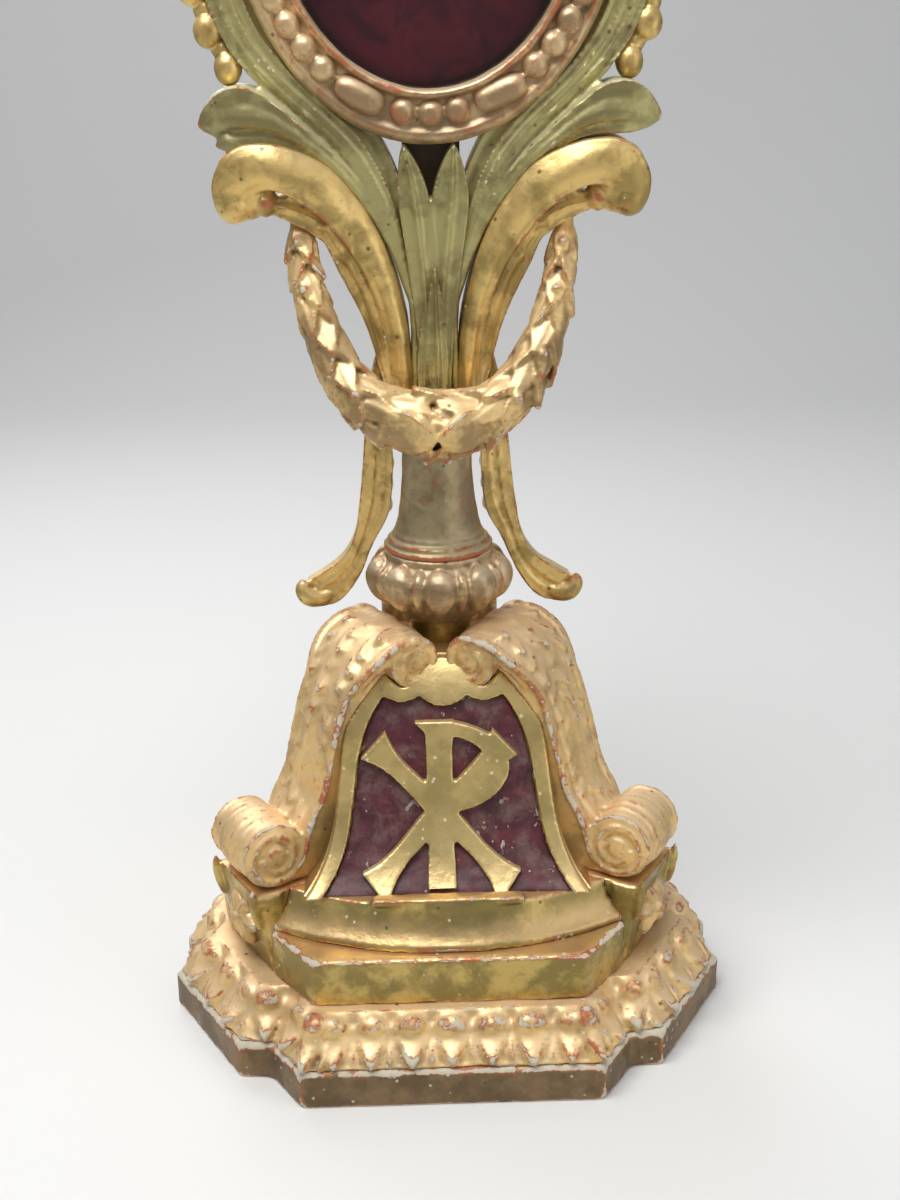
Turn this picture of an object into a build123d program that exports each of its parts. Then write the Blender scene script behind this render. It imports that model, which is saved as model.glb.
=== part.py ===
from build123d import *
import math
import os

os.makedirs("parts", exist_ok=True)

# A carved and gilded table monstrance for a relic.
# Millimetres, +Z up, front is -Y, origin on the stem's axis at the underside.
# The base has three equal sides; its corners point along 210, 330 and 90 degrees.
# "s" is a distance from the axis along a corner, "k" is a distance across it.

# ---------------------------------------------------------------- driving dimensions
# plinth
plinth_height = 14.6
plinth_front = 96.4
plinth_front_half = 53.7
plinth_rear = 89.0
plinth_corner = 105.2
plinth_corner_half = 27.9
plinth_notch_s = 95.6
plinth_notch_k = 34.9
# leaf moulding and its fillet
moulding_rise = 13.4
moulding_run = 12.6
fillet_height = 3.0
# step board
step_height = 18.0
step_front = 79.3
step_front_half = 49.0
step_rear = 73.0
step_end_s = 84.8
step_end_k = 20.9
# sill
sill_height = 15.0
sill_front = 76.0
sill_rear = 71.0
sill_end_x = 59.0
sill_bow = 16.0
sill_rear_bow = 11.0
sill_cove = 7.0
sill_block_half = 27.0
sill_block_height = 2.4
# pedestals under the scrolls
pedestal_out = 89.0
pedestal_in = 55.0
pedestal_half = 16.5
pedestal_taper = 4.6
# bell-shaped core
core_height = 78.0
core_foot = 59.0
core_waist = 39.0
core_waist_height = 36.0
core_top = 21.0
core_flare_half = 52.0
core_waist_half = 38.8
core_top_half = 27.0
boss_radius = 11.4
boss_height = 8.0
# panels, surrounds and emblem
panel_thickness = 1.4
band_thickness = 4.4
emblem_relief = 3.2
band_width = 6.2
panel_top_drop = 12.0
panel_head_half = 21.5
apron_side_sag = 2.0
apron_middle_sag = 3.6
letter_width = 9.4
letter_height = 55.0
letter_shift = -1.8
letter_flare = 2.6
serif = 4.4
chi_half_foot = 24.5
chi_half_head = 24.0
chi_head = 0.86
bowl_reach = 20.6
bowl_half_height = 16.0
bowl_width = 7.4
bowl_thin = 4.8
# scroll brackets
scroll_half = 14.0
ribbon_proud = 2.5
ribbon_width = 4.6
foot_volute_s = 80.0
foot_volute_radius = 12.5
barrel_swell = 0.5
head_volute_s = 23.0
head_volute_radius = 10.0
head_volute_half = 20.0
head_volute_drop = 0.5
eye_radius = 3.4
eye_proud = 1.5
scroll_inner = 12.0
# pedestal flowers
flower_petals = 6
flower_petal_radius = 3.9
flower_ring = 6.6
flower_centre_radius = 4.6
flower_height = 17.0
# stem
knob_height = 26.5
knob_radius = 26.2
knob_foot_radius = 14.0
knob_lobes = 14
knob_lobe_radius = 4.6
ring_radius = 20.4
column_height = 45.5
column_foot_radius = 20.0
column_neck_radius = 12.3
dowel_radius = 7.9
dowel_hole_clearance = 0.1
dowel_blind = 8.0
# leaves round the stem and the frame
leaf_front = 10.0
lance_front = 13.0
bract_thickness = 4.0
spine_thickness = 7.0
lance_half = 9.8
lance_height = 98.0
lance_tip_gap = 1.0
bract_height = 59.0
acanthus_front = 9.0
drop_thickness = 7.0
# oval frame
sight_half_width = 50.0
sight_half_height = 64.0
frame_width_side = 14.5
frame_width_end = 18.0
frame_front = 14.0
frame_back = 6.0
bead_row_offset = 7.5
bead_radius = 4.1
bead_spacing = 8.6
bar_length = 19.0
lip_width = 2.5
lip_proud = 1.5
seat_depth = 3.0
# glass, relic box, door
rabbet = 4.0
rabbet_depth = 10.0
glass_thickness = 2.0
glazing_bead_depth = 2.0
seat_clearance = 0.3
box_depth = 10.0
box_side = 18.0
box_end = 16.0
door_thickness = 5.7
door_lap = 7.0
door_clearance = 0.6
pad_thickness = 3.0
pad_margin = 0.6
# hinges and turn button
hinge_spacing = 32.0
hinge_height = 14.0
hinge_leaf_width = 9.0
hinge_leaf_thickness = 1.0
knuckle_radius = 1.8
pin_radius = 0.8
pin_clearance = 0.05
knuckle_gap = 0.2
screw_radius = 0.9
screw_head_radius = 1.8
screw_head_height = 0.8
screw_length = 4.0
button_length = 15.0
button_width = 6.0
button_thickness = 1.4
button_running_gap = 0.3
button_screw_clearance = 0.08
# garland, berries, crest
garland_hook = 0.806
garland_drop = 71.5
garland_half_span = 45.5
garland_forward = 27.5
garland_roll = 13.0
berry_radius = 4.7
berry_count = 7
crest_height = 76.0
crest_half = 36.0

# ---------------------------------------------------------------- derived heights
moulding_top = plinth_height + moulding_rise + fillet_height
step_top = moulding_top + step_height
sill_top = step_top + sill_height
core_top_z = sill_top + core_height
knob_z = core_top_z + boss_height
column_z = knob_z + knob_height
leaf_z = column_z + column_height
lance_tip_z = leaf_z + lance_height
frame_z = lance_tip_z + lance_tip_gap + frame_width_end + sight_half_height
foot_volute_z = sill_top + foot_volute_radius + barrel_swell
scroll_top = core_top_z + head_volute_radius - head_volute_drop

# longer than any part of the piece, for cutting shapes
far = 400.0

corner_angles = {"left": 210.0, "right": 330.0, "back": 90.0}
face_turns = {"front": 0.0, "back_right": 120.0, "back_left": 240.0}


# ---------------------------------------------------------------- helpers
def corner_point(angle, s, k):
    """Plan position of a point given along (s) and across (k) a corner."""
    a = math.radians(angle)
    return (s * math.cos(a) - k * math.sin(a), s * math.sin(a) + k * math.cos(a))


def three_sided(corner_points, half, front, rear):
    """Plan outline: three equal corners, and between them a front and two rear faces."""
    points = []
    for angle, nearer, farther in ((330.0, front, rear), (90.0, rear, rear), (210.0, rear, front)):
        points.append(face_point(angle - 60.0, nearer, half))
        points += [corner_point(angle, s, k) for s, k in corner_points]
        points.append(face_point(angle + 60.0, farther, -half))
    return points


def face_point(angle, distance, along):
    """Plan position of a point given along a face that looks towards an angle."""
    return corner_point(angle, distance, along)


def inset(points, distance):
    """Mitred inward offset of a closed plan outline that runs anticlockwise."""
    moved = []
    for i, here in enumerate(points):
        before, after = Vector(*points[i - 1]), Vector(*points[(i + 1) % len(points)])
        here = Vector(*here)
        d1, d2 = (here - before).normalized(), (after - here).normalized()
        n1, n2 = Vector(-d1.Y, d1.X), Vector(-d2.Y, d2.X)
        step = (n1 + n2) * (distance / (1 + n1.dot(n2)))
        moved.append((here.X + step.X, here.Y + step.Y))
    return moved


def flat(points):
    """Face bounded by straight edges, in the points' own order."""
    return Polygon(*points, align=None)


def board(points, z, height):
    """Board of a given plan outline, from z upwards."""
    return extrude(Pos(0, 0, z) * flat(points), height)


def upright(face, front, back):
    """Prism of an outline drawn in X and Z, between two depths (front is -Y)."""
    return extrude(Plane.XZ.offset(-back) * face, back + front)


def mirrored(points):
    """The same outline on the other side of the middle, kept in order."""
    return [(-x, z) for x, z in reversed(points)]


def smooth_face(*runs):
    """Face from runs of points: two points make a line, more make a spline."""
    edges = []
    for run in runs:
        edges.append(Line(*run) if len(run) == 2 else Spline(*run))
    return make_face(Curve() + edges)


def on_corner(angle, shape):
    """Place a shape modelled along +X (s) and +Y (k) at a corner."""
    return Rot(0, 0, angle) * shape


def oval(half_width, half_height):
    """Flat oval of two half sizes."""
    return Ellipse(half_width, half_height)


def oval_ring(outer, inner, front, back):
    """Oval ring round the frame's centre between two depths."""
    face = Pos(0, frame_z) * (oval(*outer) - oval(*inner))
    return upright(face, front, back)


def grown(pair, side, end=None):
    """Half width and half height, each made larger by its own amount."""
    return (pair[0] + side, pair[1] + (side if end is None else end))


# ---------------------------------------------------------------- base boards
def plinth_points():
    corner = [
        (plinth_notch_s, -plinth_notch_k),
        (plinth_corner, -plinth_corner_half),
        (plinth_corner, plinth_corner_half),
        (plinth_notch_s, plinth_notch_k),
    ]
    return three_sided(corner, plinth_front_half, plinth_front, plinth_rear)


def make_plinth():
    return board(plinth_points(), 0, plinth_height)


def make_leaf_moulding():
    """Reversed-curve moulding between two outlines, with a square fillet on top."""
    steps = [(0.06, 0.0), (0.20, 0.24), (0.46, 0.42), (0.68, 0.72), (0.80, 0.94), (1.0, 1.0)]
    sections = []
    for run, rise in steps:
        plan = inset(plinth_points(), moulding_run * run)
        sections.append(Pos(0, 0, plinth_height + moulding_rise * rise) * flat(plan))
    ramp = loft(sections, ruled=True)
    cap = board(inset(plinth_points(), moulding_run), plinth_height + moulding_rise, fillet_height)
    return ramp + cap


def pedestal_slot(z, height):
    """Room for the three pedestals in a board."""
    room = [(pedestal_in, -pedestal_half), (far, -pedestal_half),
            (far, pedestal_half), (pedestal_in, pedestal_half)]
    return [board([corner_point(a, s, k) for s, k in room], z, height)
            for a in corner_angles.values()]


def make_step_board():
    corner = [(step_end_s, -step_end_k), (step_end_s, step_end_k)]
    plan = three_sided(corner, step_front_half, step_front, step_rear)
    return board(plan, moulding_top, step_height) - pedestal_slot(moulding_top, step_height)


def make_sill(front, bow):
    """Bowed rail at the foot of one bell face: a turned cove cut to its sector."""
    radius = (sill_end_x ** 2 + bow ** 2) / (2 * bow)
    turn_y = radius - front
    profile = make_face(Curve() + [
        Line((0, 0), (radius, 0)),
        Line((radius, 0), (radius, 2.0)),
        ThreePointArc((radius, 2.0), (radius - 0.72 * sill_cove, 0.55 * sill_height),
                      (radius - sill_cove, sill_height)),
        Line((radius - sill_cove, sill_height), (0, sill_height)),
        Line((0, sill_height), (0, 0)),
    ])
    turned = revolve(Pos(0, turn_y, step_top) * (Plane.XZ * profile),
                     Axis((0, turn_y, step_top), (0, 0, 1)))
    right = [(pedestal_in, 0), (pedestal_in, -pedestal_half), (far, -pedestal_half)]
    plan = [corner_point(330.0, s, k) for s, k in right]
    plan = [(0, 0)] + [(-x, y) for x, y in plan] + [(x, y) for x, y in reversed(plan)]
    return turned & board(plan, step_top, sill_height)


def make_front_sill(sill):
    """The front sill has a low block that the emblem stands on."""
    depth = sill_front - sill_cove
    block = Box(2 * sill_block_half, depth - core_foot - band_thickness, sill_block_height,
                align=(Align.CENTER, Align.MIN, Align.MIN))
    return sill + Pos(0, -depth + 0.8, sill_top) * block


# ---------------------------------------------------------------- corners
def make_pedestal():
    """Corner block, narrower towards its foot on the outer face."""
    height = sill_top - moulding_top
    side = flat([(pedestal_in, moulding_top), (pedestal_out - pedestal_taper, moulding_top),
                 (pedestal_out, moulding_top + height), (pedestal_in, moulding_top + height)])
    return side_prism(side, -pedestal_half, pedestal_half)


def make_flower(pedestal):
    """Cluster of round petals seated on the outer face of a pedestal."""
    out = pedestal_out - 0.5 * pedestal_taper
    centre = Vector(out, 0, moulding_top + flower_height)
    cluster = Pos(centre) * Sphere(flower_centre_radius)
    for i in range(flower_petals):
        a = math.radians(360.0 * i / flower_petals)
        at = centre + Vector(0, flower_ring * math.cos(a), flower_ring * math.sin(a))
        cluster += Pos(at) * Sphere(flower_petal_radius)
    return cluster - pedestal


def bell_points():
    """Outer edge of a scroll bracket from its head volute down to its foot volute."""
    rise = scroll_top - sill_top
    return [
        (head_volute_s, scroll_top),
        (31.5, sill_top + 0.990 * rise),
        (41.0, sill_top + 0.925 * rise),
        (48.5, sill_top + 0.815 * rise),
        (54.0, sill_top + 0.665 * rise),
        (58.0, sill_top + 0.500 * rise),
        (62.0, sill_top + 0.350 * rise),
        (foot_volute_s - 9.5, foot_volute_z + 6.0),
    ]


def shifted(points, distance):
    """Points moved sideways, to the inner side of the run from head to foot."""
    moved = []
    for i, (s, z) in enumerate(points):
        before, after = points[max(i - 1, 0)], points[min(i + 1, len(points) - 1)]
        run = Vector(after[0] - before[0], after[1] - before[1]).normalized()
        moved.append((s + run.Y * distance, z - run.X * distance))
    return moved


def scroll_outline(edge, reach=0.0, shrink=0.0):
    """Side face of a bracket; reach carries its straight sides outwards."""
    head = Pos(head_volute_s, scroll_top - head_volute_radius) * Circle(head_volute_radius - shrink)
    foot = Pos(foot_volute_s, foot_volute_z) * Circle(foot_volute_radius - shrink)
    inner = scroll_inner - reach
    low = sill_top - reach
    body = make_face(Curve() + [
        Spline(*edge),
        Line(edge[-1], (foot_volute_s, foot_volute_z)),
        Line((foot_volute_s, foot_volute_z), (foot_volute_s, low)),
        Line((foot_volute_s, low), (inner, low)),
        Line((inner, low), (inner, scroll_top - head_volute_radius)),
        Line((inner, scroll_top - head_volute_radius), edge[0]),
    ])
    return body + head + foot


def side_prism(face, k0, k1):
    """Prism of a side outline (s, z) between two distances across the corner."""
    return extrude(Plane.XZ.offset(-k1) * face, k1 - k0)


def make_scroll():
    """Bell-scroll bracket: slab, raised ribbon on both cheeks, volute eyes, round barrel."""
    edge = bell_points()
    outline = scroll_outline(edge)
    sunk = scroll_outline(shifted(edge, ribbon_width), reach=30.0, shrink=ribbon_width)
    ribbon = (outline - sunk) + Pos(foot_volute_s, foot_volute_z) * Circle(4.2)
    slab = side_prism(outline, -scroll_half, scroll_half)
    head = Pos(head_volute_s, scroll_top - head_volute_radius)
    eye_half = head_volute_half + eye_proud
    slab += side_prism(head * Circle(head_volute_radius), -head_volute_half, head_volute_half)
    slab += side_prism(head * Circle(eye_radius), -eye_half, eye_half)
    for side in (-1, 1):
        k = sorted((side * scroll_half, side * (scroll_half + ribbon_proud)))
        slab += side_prism(ribbon, *k)
    barrel_profile = Plane.XY * make_face(Curve() + [
        Line((0, -scroll_half + 1), (foot_volute_radius - 1, -scroll_half + 1)),
        Spline((foot_volute_radius - 1, -scroll_half + 1),
               (foot_volute_radius + barrel_swell, 0),
               (foot_volute_radius - 1, scroll_half - 1)),
        Line((foot_volute_radius - 1, scroll_half - 1), (0, scroll_half - 1)),
        Line((0, scroll_half - 1), (0, -scroll_half + 1)),
    ])
    barrel = revolve(barrel_profile, Axis.Y)
    return slab + Pos(foot_volute_s, 0, foot_volute_z) * barrel


# ---------------------------------------------------------------- bell core and panels
def core_profile(grow, foot=0.0):
    """Section of a bell face (distance from the axis, z), grown outwards."""
    points = [
        (core_foot + grow, sill_top),
        (core_foot - 0.62 * (core_foot - core_waist) + grow, sill_top + 0.45 * core_waist_height),
        (core_waist + grow, sill_top + core_waist_height),
        (core_top + grow, core_top_z),
    ]
    return make_face(Curve() + [
        Spline(*points),
        Line(points[-1], (0, core_top_z)),
        Line((0, core_top_z), (0, sill_top)),
        Line((0, sill_top), points[0]),
    ])


def bell_half_points(margin=0.0):
    """Right edge of the bell outline seen from the front, from foot to top."""
    return [
        (core_flare_half - margin, sill_top),
        (0.5 * (core_flare_half + core_waist_half) - 2.2 - margin, sill_top + 0.38 * core_waist_height),
        (core_waist_half - margin, sill_top + core_waist_height),
        (0.86 * core_waist_half - margin, sill_top + 0.84 * core_height),
        (core_top_half - margin, core_top_z),
    ]


def bell_face(margin=0.0):
    right = bell_half_points(margin)
    return make_face(Curve() + [
        Spline(*right),
        Line(right[-1], (-right[-1][0], core_top_z)),
        Spline(*mirrored(right)),
        Line((-right[0][0], sill_top), right[0]),
    ])


def face_body(grow):
    """Solid behind a bell face whose surface stands proud of the core by grow."""
    return extrude(Pos(-far, 0, 0) * (Plane.YZ * mirror(core_profile(grow), Plane.YZ)), 2 * far)


def face_layer(outline, low, high):
    """Layer on a bell face between two heights above the core, cut to an outline."""
    return (face_body(high) - face_body(low)) & upright(outline, far, 0.0)


def apron_line(z, half):
    """Three hanging lobes of the apron, from right to left."""
    edges = []
    right = half
    for width, sag in ((0.6, apron_side_sag), (0.8, apron_middle_sag), (0.6, apron_side_sag)):
        left = right - width * half
        edges.append(ThreePointArc((right, z), ((right + left) / 2, z - sag), (left, z)))
        right = left
    return edges


def panel_opening():
    """Outline of the sunk field: bell sides and a lobed head."""
    head_z = core_top_z - panel_top_drop
    right = [(x, z) for x, z in bell_half_points(band_width) if z < head_z - panel_top_drop]
    right.append((panel_head_half, head_z))
    return make_face(Curve() + [
        Spline(*right), *apron_line(head_z, panel_head_half), Spline(*mirrored(right)),
        Line((-right[0][0], sill_top), right[0]),
    ])


def make_base_core(cutters):
    """Three bell faces on one block, and the boss that the knob sits on."""
    core = None
    for turn in face_turns.values():
        face = Rot(0, 0, turn) * (face_body(0.0) & upright(bell_face(), far, 0.0))
        core = face if core is None else core + face
    boss = Pos(0, 0, core_top_z) * Cylinder(
        boss_radius, boss_height, align=(Align.CENTER, Align.CENTER, Align.MIN))
    return core + boss - cutters


def letter_bar(a, b, width, flare):
    """Straight stroke with ends that spread, drawn in X and Z."""
    a, b = Vector(*a), Vector(*b)
    along = (b - a).normalized()
    across = Vector(-along.Y, along.X)
    half = width / 2
    mid = (a + b) * 0.5
    def at(p, side, extra):
        q = p + across * side * (half + extra)
        return (q.X, q.Y)
    right = Spline(at(a, 1, flare), at(a + along * 6, 1, 0.3), at(mid, 1, 0),
                   at(b - along * 6, 1, 0.3), at(b, 1, flare))
    left = Spline(at(b, -1, flare), at(b - along * 6, -1, 0.3), at(mid, -1, 0),
                  at(a + along * 6, -1, 0.3), at(a, -1, flare))
    ends = [Line(at(b, 1, flare), at(b, -1, flare)), Line(at(a, -1, flare), at(a, 1, flare))]
    return make_face(Curve() + [right, ends[0], left, ends[1]])


def emblem_face():
    """Tall P crossed by an X, as one outline."""
    foot = sill_top + sill_block_height
    top = foot + letter_height
    x = letter_shift
    stem = letter_bar((x, foot), (x, top), letter_width, 0.6)
    stem += Pos(x - letter_width / 2, top) * flat([(0, 0), (-serif, 0), (0, -serif)])
    chi_top = foot + chi_head * letter_height
    chi = [letter_bar((x - side * chi_half_foot, foot), (x + side * chi_half_head, chi_top),
                      letter_width - 1.4, letter_flare) for side in (-1, 1)]
    bowl = Pos(x, top - bowl_half_height) * (
        oval(bowl_reach + letter_width / 2, bowl_half_height)
        - oval(bowl_reach + letter_width / 2 - bowl_width, bowl_half_height - bowl_thin))
    bowl &= Pos(x, top) * Rectangle(far, far, align=(Align.MIN, Align.CENTER))
    return stem + chi + bowl


# ---------------------------------------------------------------- stem
def make_knob():
    """Flattened knob with a ring of upright lobes, bored for the dowel."""
    equator = knob_z + 0.62 * knob_height
    profile = make_face(Curve() + [
        Line((0, knob_z), (knob_foot_radius, knob_z)),
        Spline((knob_foot_radius, knob_z), (0.80 * knob_radius, knob_z + 0.24 * knob_height),
               (0.94 * knob_radius, equator), (0.86 * knob_radius, knob_z + 0.84 * knob_height),
               (ring_radius, knob_z + 0.93 * knob_height)),
        Line((ring_radius, knob_z + 0.93 * knob_height), (ring_radius, column_z)),
        Line((ring_radius, column_z), (0, column_z)),
        Line((0, column_z), (0, knob_z)),
    ])
    knob = revolve(Plane.XZ * profile, Axis.Z)
    for i in range(knob_lobes):
        a = 360.0 * (i + 0.5) / knob_lobes
        lobe = scale(Sphere(knob_lobe_radius), (1.0, 1.05, 1.75))
        knob += Rot(0, 0, a) * Pos(knob_radius - knob_lobe_radius, 0, equator - 1.0) * lobe
    bore = Pos(0, 0, knob_z) * Cylinder(dowel_radius + dowel_hole_clearance, knob_height,
                                        align=(Align.CENTER, Align.CENTER, Align.MIN))
    return knob - bore


def make_column():
    """Trumpet-shaped column with a blind bore from below."""
    profile = make_face(Curve() + [
        Line((0, column_z), (column_foot_radius, column_z)),
        Line((column_foot_radius, column_z), (column_foot_radius, column_z + 1.6)),
        Spline((column_foot_radius, column_z + 1.6), (0.68 * column_foot_radius, column_z + 9.5),
               (column_neck_radius, column_z + 0.55 * column_height),
               (column_neck_radius, leaf_z)),
        Line((column_neck_radius, leaf_z), (0, leaf_z)),
        Line((0, leaf_z), (0, column_z)),
    ])
    column = revolve(Plane.XZ * profile, Axis.Z)
    bore = Pos(0, 0, column_z) * Cylinder(
        dowel_radius + dowel_hole_clearance, column_height - dowel_blind,
        align=(Align.CENTER, Align.CENTER, Align.MIN))
    return column - bore


def make_dowel():
    """Turned peg that carries the knob and the column on the core's boss."""
    return Pos(0, 0, knob_z) * Cylinder(
        dowel_radius, knob_height + column_height - dowel_blind - seat_clearance,
        align=(Align.CENTER, Align.CENTER, Align.MIN))


# ---------------------------------------------------------------- oval frame and relic box
sight = (sight_half_width, sight_half_height)
frame_outer = grown(sight, frame_width_side, frame_width_end)
rabbet_oval = grown(sight, rabbet)
door_oval = grown(sight, door_lap)
recess_oval = grown(door_oval, door_clearance)
bead_row = grown(sight, bead_row_offset)
glass_front = frame_back - rabbet_depth
box_back = frame_back + box_depth
door_front = box_back - door_thickness


def make_oval_frame():
    """Moulded ring: raised lips, a sunk seat for the beads, and a rabbet behind."""
    body = oval_ring(frame_outer, sight, frame_front - seat_depth, frame_back)
    inner_lip = oval_ring(grown(sight, lip_width), sight, frame_front + lip_proud, 0)
    outer_lip = oval_ring(frame_outer, grown(frame_outer, -lip_width), frame_front - 1.0, 0)
    rabbet_cut = oval_plate(rabbet_oval, -glass_front, frame_back + 1)
    return body + inner_lip + outer_lip - rabbet_cut


def bead_angles():
    """Places round the bead row as (angle, kind), evenly stepped along its length."""
    a, b = bead_row
    steps = 720
    lengths = [0.0]
    points = [(a * math.sin(2 * math.pi * i / steps), -b * math.cos(2 * math.pi * i / steps))
              for i in range(steps + 1)]
    for p, q in zip(points, points[1:]):
        lengths.append(lengths[-1] + math.dist(p, q))
    total = lengths[-1]

    def at(length):
        length %= total
        i = max(j for j in range(steps) if lengths[j] <= length)
        p, q = points[i], points[i + 1]
        t = (length - lengths[i]) / (lengths[i + 1] - lengths[i])
        turn = math.degrees(math.atan2(q[1] - p[1], q[0] - p[0]))
        return (p[0] + (q[0] - p[0]) * t, p[1] + (q[1] - p[1]) * t, turn)

    places = []
    bar_at = 1.5 * bead_spacing + bar_length / 2 + 1.0
    first = bar_at + bar_length / 2 + bead_spacing / 2 + 0.4
    run = total / 2 - 2 * first
    count = max(1, round(run / bead_spacing))
    for half in (0, total / 2):
        places += [(*at(half + i * bead_spacing), "bead") for i in (-1, 0, 1)]
        places += [(*at(half + s * bar_at), "bar") for s in (-1, 1)]
        places += [(*at(half + first + run * i / count), "bead") for i in range(count + 1)]
    return places


def make_frame_beads():
    """Round beads and long bars, half sunk in the frame's seat."""
    seat = frame_front - seat_depth
    keep = Pos(0, -seat, frame_z) * Box(far, far, far, align=(Align.CENTER, Align.MAX, Align.CENTER))
    beads = []
    for x, z, turn, kind in bead_angles():
        if kind == "bead":
            shape = Sphere(bead_radius)
        else:
            rod = Rot(0, 90, 0) * Cylinder(bead_radius, bar_length - 2 * bead_radius)
            shape = rod + [Pos(s * (bar_length / 2 - bead_radius), 0, 0) * Sphere(bead_radius)
                           for s in (-1, 1)]
        beads.append((Pos(x, -seat, frame_z + z) * Rot(0, -turn, 0) * shape) & keep)
    return Compound(beads)


def oval_plate(size, front, back):
    """Solid oval plate round the frame's centre between two depths."""
    return upright(Pos(0, frame_z) * oval(*size), front, back)


def make_glass():
    return oval_plate(grown(rabbet_oval, -seat_clearance), -glass_front,
                      glass_front + glass_thickness)


def make_glazing_bead():
    back = glass_front + glass_thickness
    return oval_ring(grown(rabbet_oval, -seat_clearance), grown(sight, 0.5), -back, back + glazing_bead_depth)


def make_back_ring():
    """Relic box behind the frame, rebated for the door."""
    outer = grown(sight, box_side, box_end)
    ring = oval_ring(outer, rabbet_oval, -frame_back, box_back)
    recess = oval_plate(recess_oval, -(door_front - seat_clearance), box_back + 1)
    places = [(x, z) for c in hinge_centres() for x, _, z in screw_places(1, c)]
    pilots = screw_pilots(places, box_back, screw_length - hinge_leaf_thickness)
    pilots += screw_pilots([(button_x, frame_z)], box_back, box_depth - 2)
    return ring - recess - pilots


def make_door():
    places = [(x, z) for c in hinge_centres() for x, _, z in screw_places(-1, c)]
    pilots = screw_pilots(places, box_back, screw_length - hinge_leaf_thickness)
    return oval_plate(door_oval, -door_front, box_back) - pilots


def make_velvet_pad():
    return oval_plate(grown(sight, pad_margin), -(door_front - pad_thickness), door_front)


# ---------------------------------------------------------------- hinges and turn button
hinge_x = door_oval[0] + door_clearance / 2
hinge_y = box_back + knuckle_radius
knuckle = (hinge_height - 2 * knuckle_gap) / 3


def hinge_centres():
    return [frame_z - hinge_spacing / 2, frame_z + hinge_spacing / 2]


def tube(z, height):
    outer = Cylinder(knuckle_radius, height)
    return Pos(hinge_x, hinge_y, z) * (outer - Cylinder(pin_radius + pin_clearance, height))


def hinge_leaf(side, z):
    """Plate of a hinge on the given side of the pin, with two screw holes."""
    plate = Pos(hinge_x + side * hinge_leaf_width / 2, box_back + hinge_leaf_thickness / 2, z) * Box(
        hinge_leaf_width, hinge_leaf_thickness, hinge_height)
    for x, _, hole_z in screw_places(side, z):
        plate -= Pos(x, box_back, hole_z) * Rot(90, 0, 0) * Cylinder(screw_radius, 10)
    return plate


def screw_places(side, z):
    x = hinge_x + side * (hinge_leaf_width - 2.8)
    return [(x, side, z + t * hinge_height / 4) for t in (-1, 1)]


def make_frame_hinge_leaves():
    """Leaves screwed to the relic box, each with the two end knuckles."""
    leaves = []
    for z in hinge_centres():
        clear = Pos(hinge_x, hinge_y, z) * Cylinder(
            knuckle_radius + knuckle_gap, knuckle + 2 * knuckle_gap)
        bore = Pos(hinge_x, hinge_y, z) * Cylinder(pin_radius + pin_clearance, hinge_height)
        leaf = hinge_leaf(1, z) + [tube(z + t * (knuckle + knuckle_gap), knuckle) for t in (-1, 1)]
        leaves.append(leaf - clear - bore)
    return Compound(leaves)


def make_door_hinge_leaves():
    """Leaves screwed to the door, each with the middle knuckle."""
    leaves = []
    for z in hinge_centres():
        leaf = hinge_leaf(-1, z)
        for t in (-1, 1):
            leaf -= Pos(hinge_x, hinge_y, z + t * (knuckle + knuckle_gap)) * Cylinder(
                knuckle_radius + knuckle_gap, knuckle + knuckle_gap)
        leaf = leaf + tube(z, knuckle)
        leaves.append(leaf - Pos(hinge_x, hinge_y, z) * Cylinder(pin_radius + pin_clearance, hinge_height))
    return Compound(leaves)


def make_hinge_pins():
    """Pins with a small head on top that rests on the upper knuckle."""
    pins = []
    for z in hinge_centres():
        pin = Pos(hinge_x, hinge_y, z) * Cylinder(pin_radius, hinge_height)
        head = Pos(hinge_x, hinge_y, z + hinge_height / 2 + 0.4) * Cylinder(knuckle_radius * 0.8, 0.8)
        pins.append(pin + head)
    return Compound(pins)


def screw(x, z, seat_y, length):
    """Round-headed screw driven forwards from a seat on the back."""
    head = Pos(x, seat_y + screw_head_height / 2, z) * Rot(90, 0, 0) * Cylinder(
        screw_head_radius, screw_head_height)
    shank = Pos(x, seat_y - length / 2, z) * Rot(90, 0, 0) * Cylinder(
        screw_radius - button_screw_clearance, length)
    return head + shank


def make_hinge_screws(side):
    seat = box_back + hinge_leaf_thickness
    return Compound([screw(x, z, seat, screw_length)
                     for centre in hinge_centres() for x, _, z in screw_places(side, centre)])


button_x = -(door_oval[0] + 4.8)


def make_turn_button():
    """Brass bar with rounded ends, upright at rest, clear of the door."""
    plan = SlotOverall(button_length, button_width, rotation=90)
    face = Pos(button_x, frame_z) * (plan - Circle(screw_radius))
    start = box_back + button_running_gap
    return upright(face, -start, start + button_thickness)


def make_button_screw():
    seat = box_back + 2 * button_running_gap + button_thickness
    return screw(button_x, frame_z, seat, seat - box_back + box_depth - 2)


def screw_pilots(places, seat, length):
    """Pilot holes that the screws sit in."""
    return [Pos(x, seat - length / 2, z) * Rot(90, 0, 0) * Cylinder(
        screw_radius - button_screw_clearance, length) for x, z in places]


# ---------------------------------------------------------------- leaves
def lance_half_points():
    h = leaf_z
    return [(4.4, h), (4.6, h + 0.40 * lance_height), (7.4, h + 0.60 * lance_height),
            (lance_half, h + 0.84 * lance_height), (7.4, h + lance_height)]


def make_lances():
    """Pair of lance leaves side by side on the middle."""
    right = lance_half_points()
    tip = right[-1]
    notch = (0, leaf_z + 0.82 * lance_height)
    face = smooth_face(right, (tip, notch), (notch, (-tip[0], tip[1])), mirrored(right),
                       ((-right[0][0], leaf_z), right[0]))
    return upright(face, lance_front, -(spine_thickness - frame_back))


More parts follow.
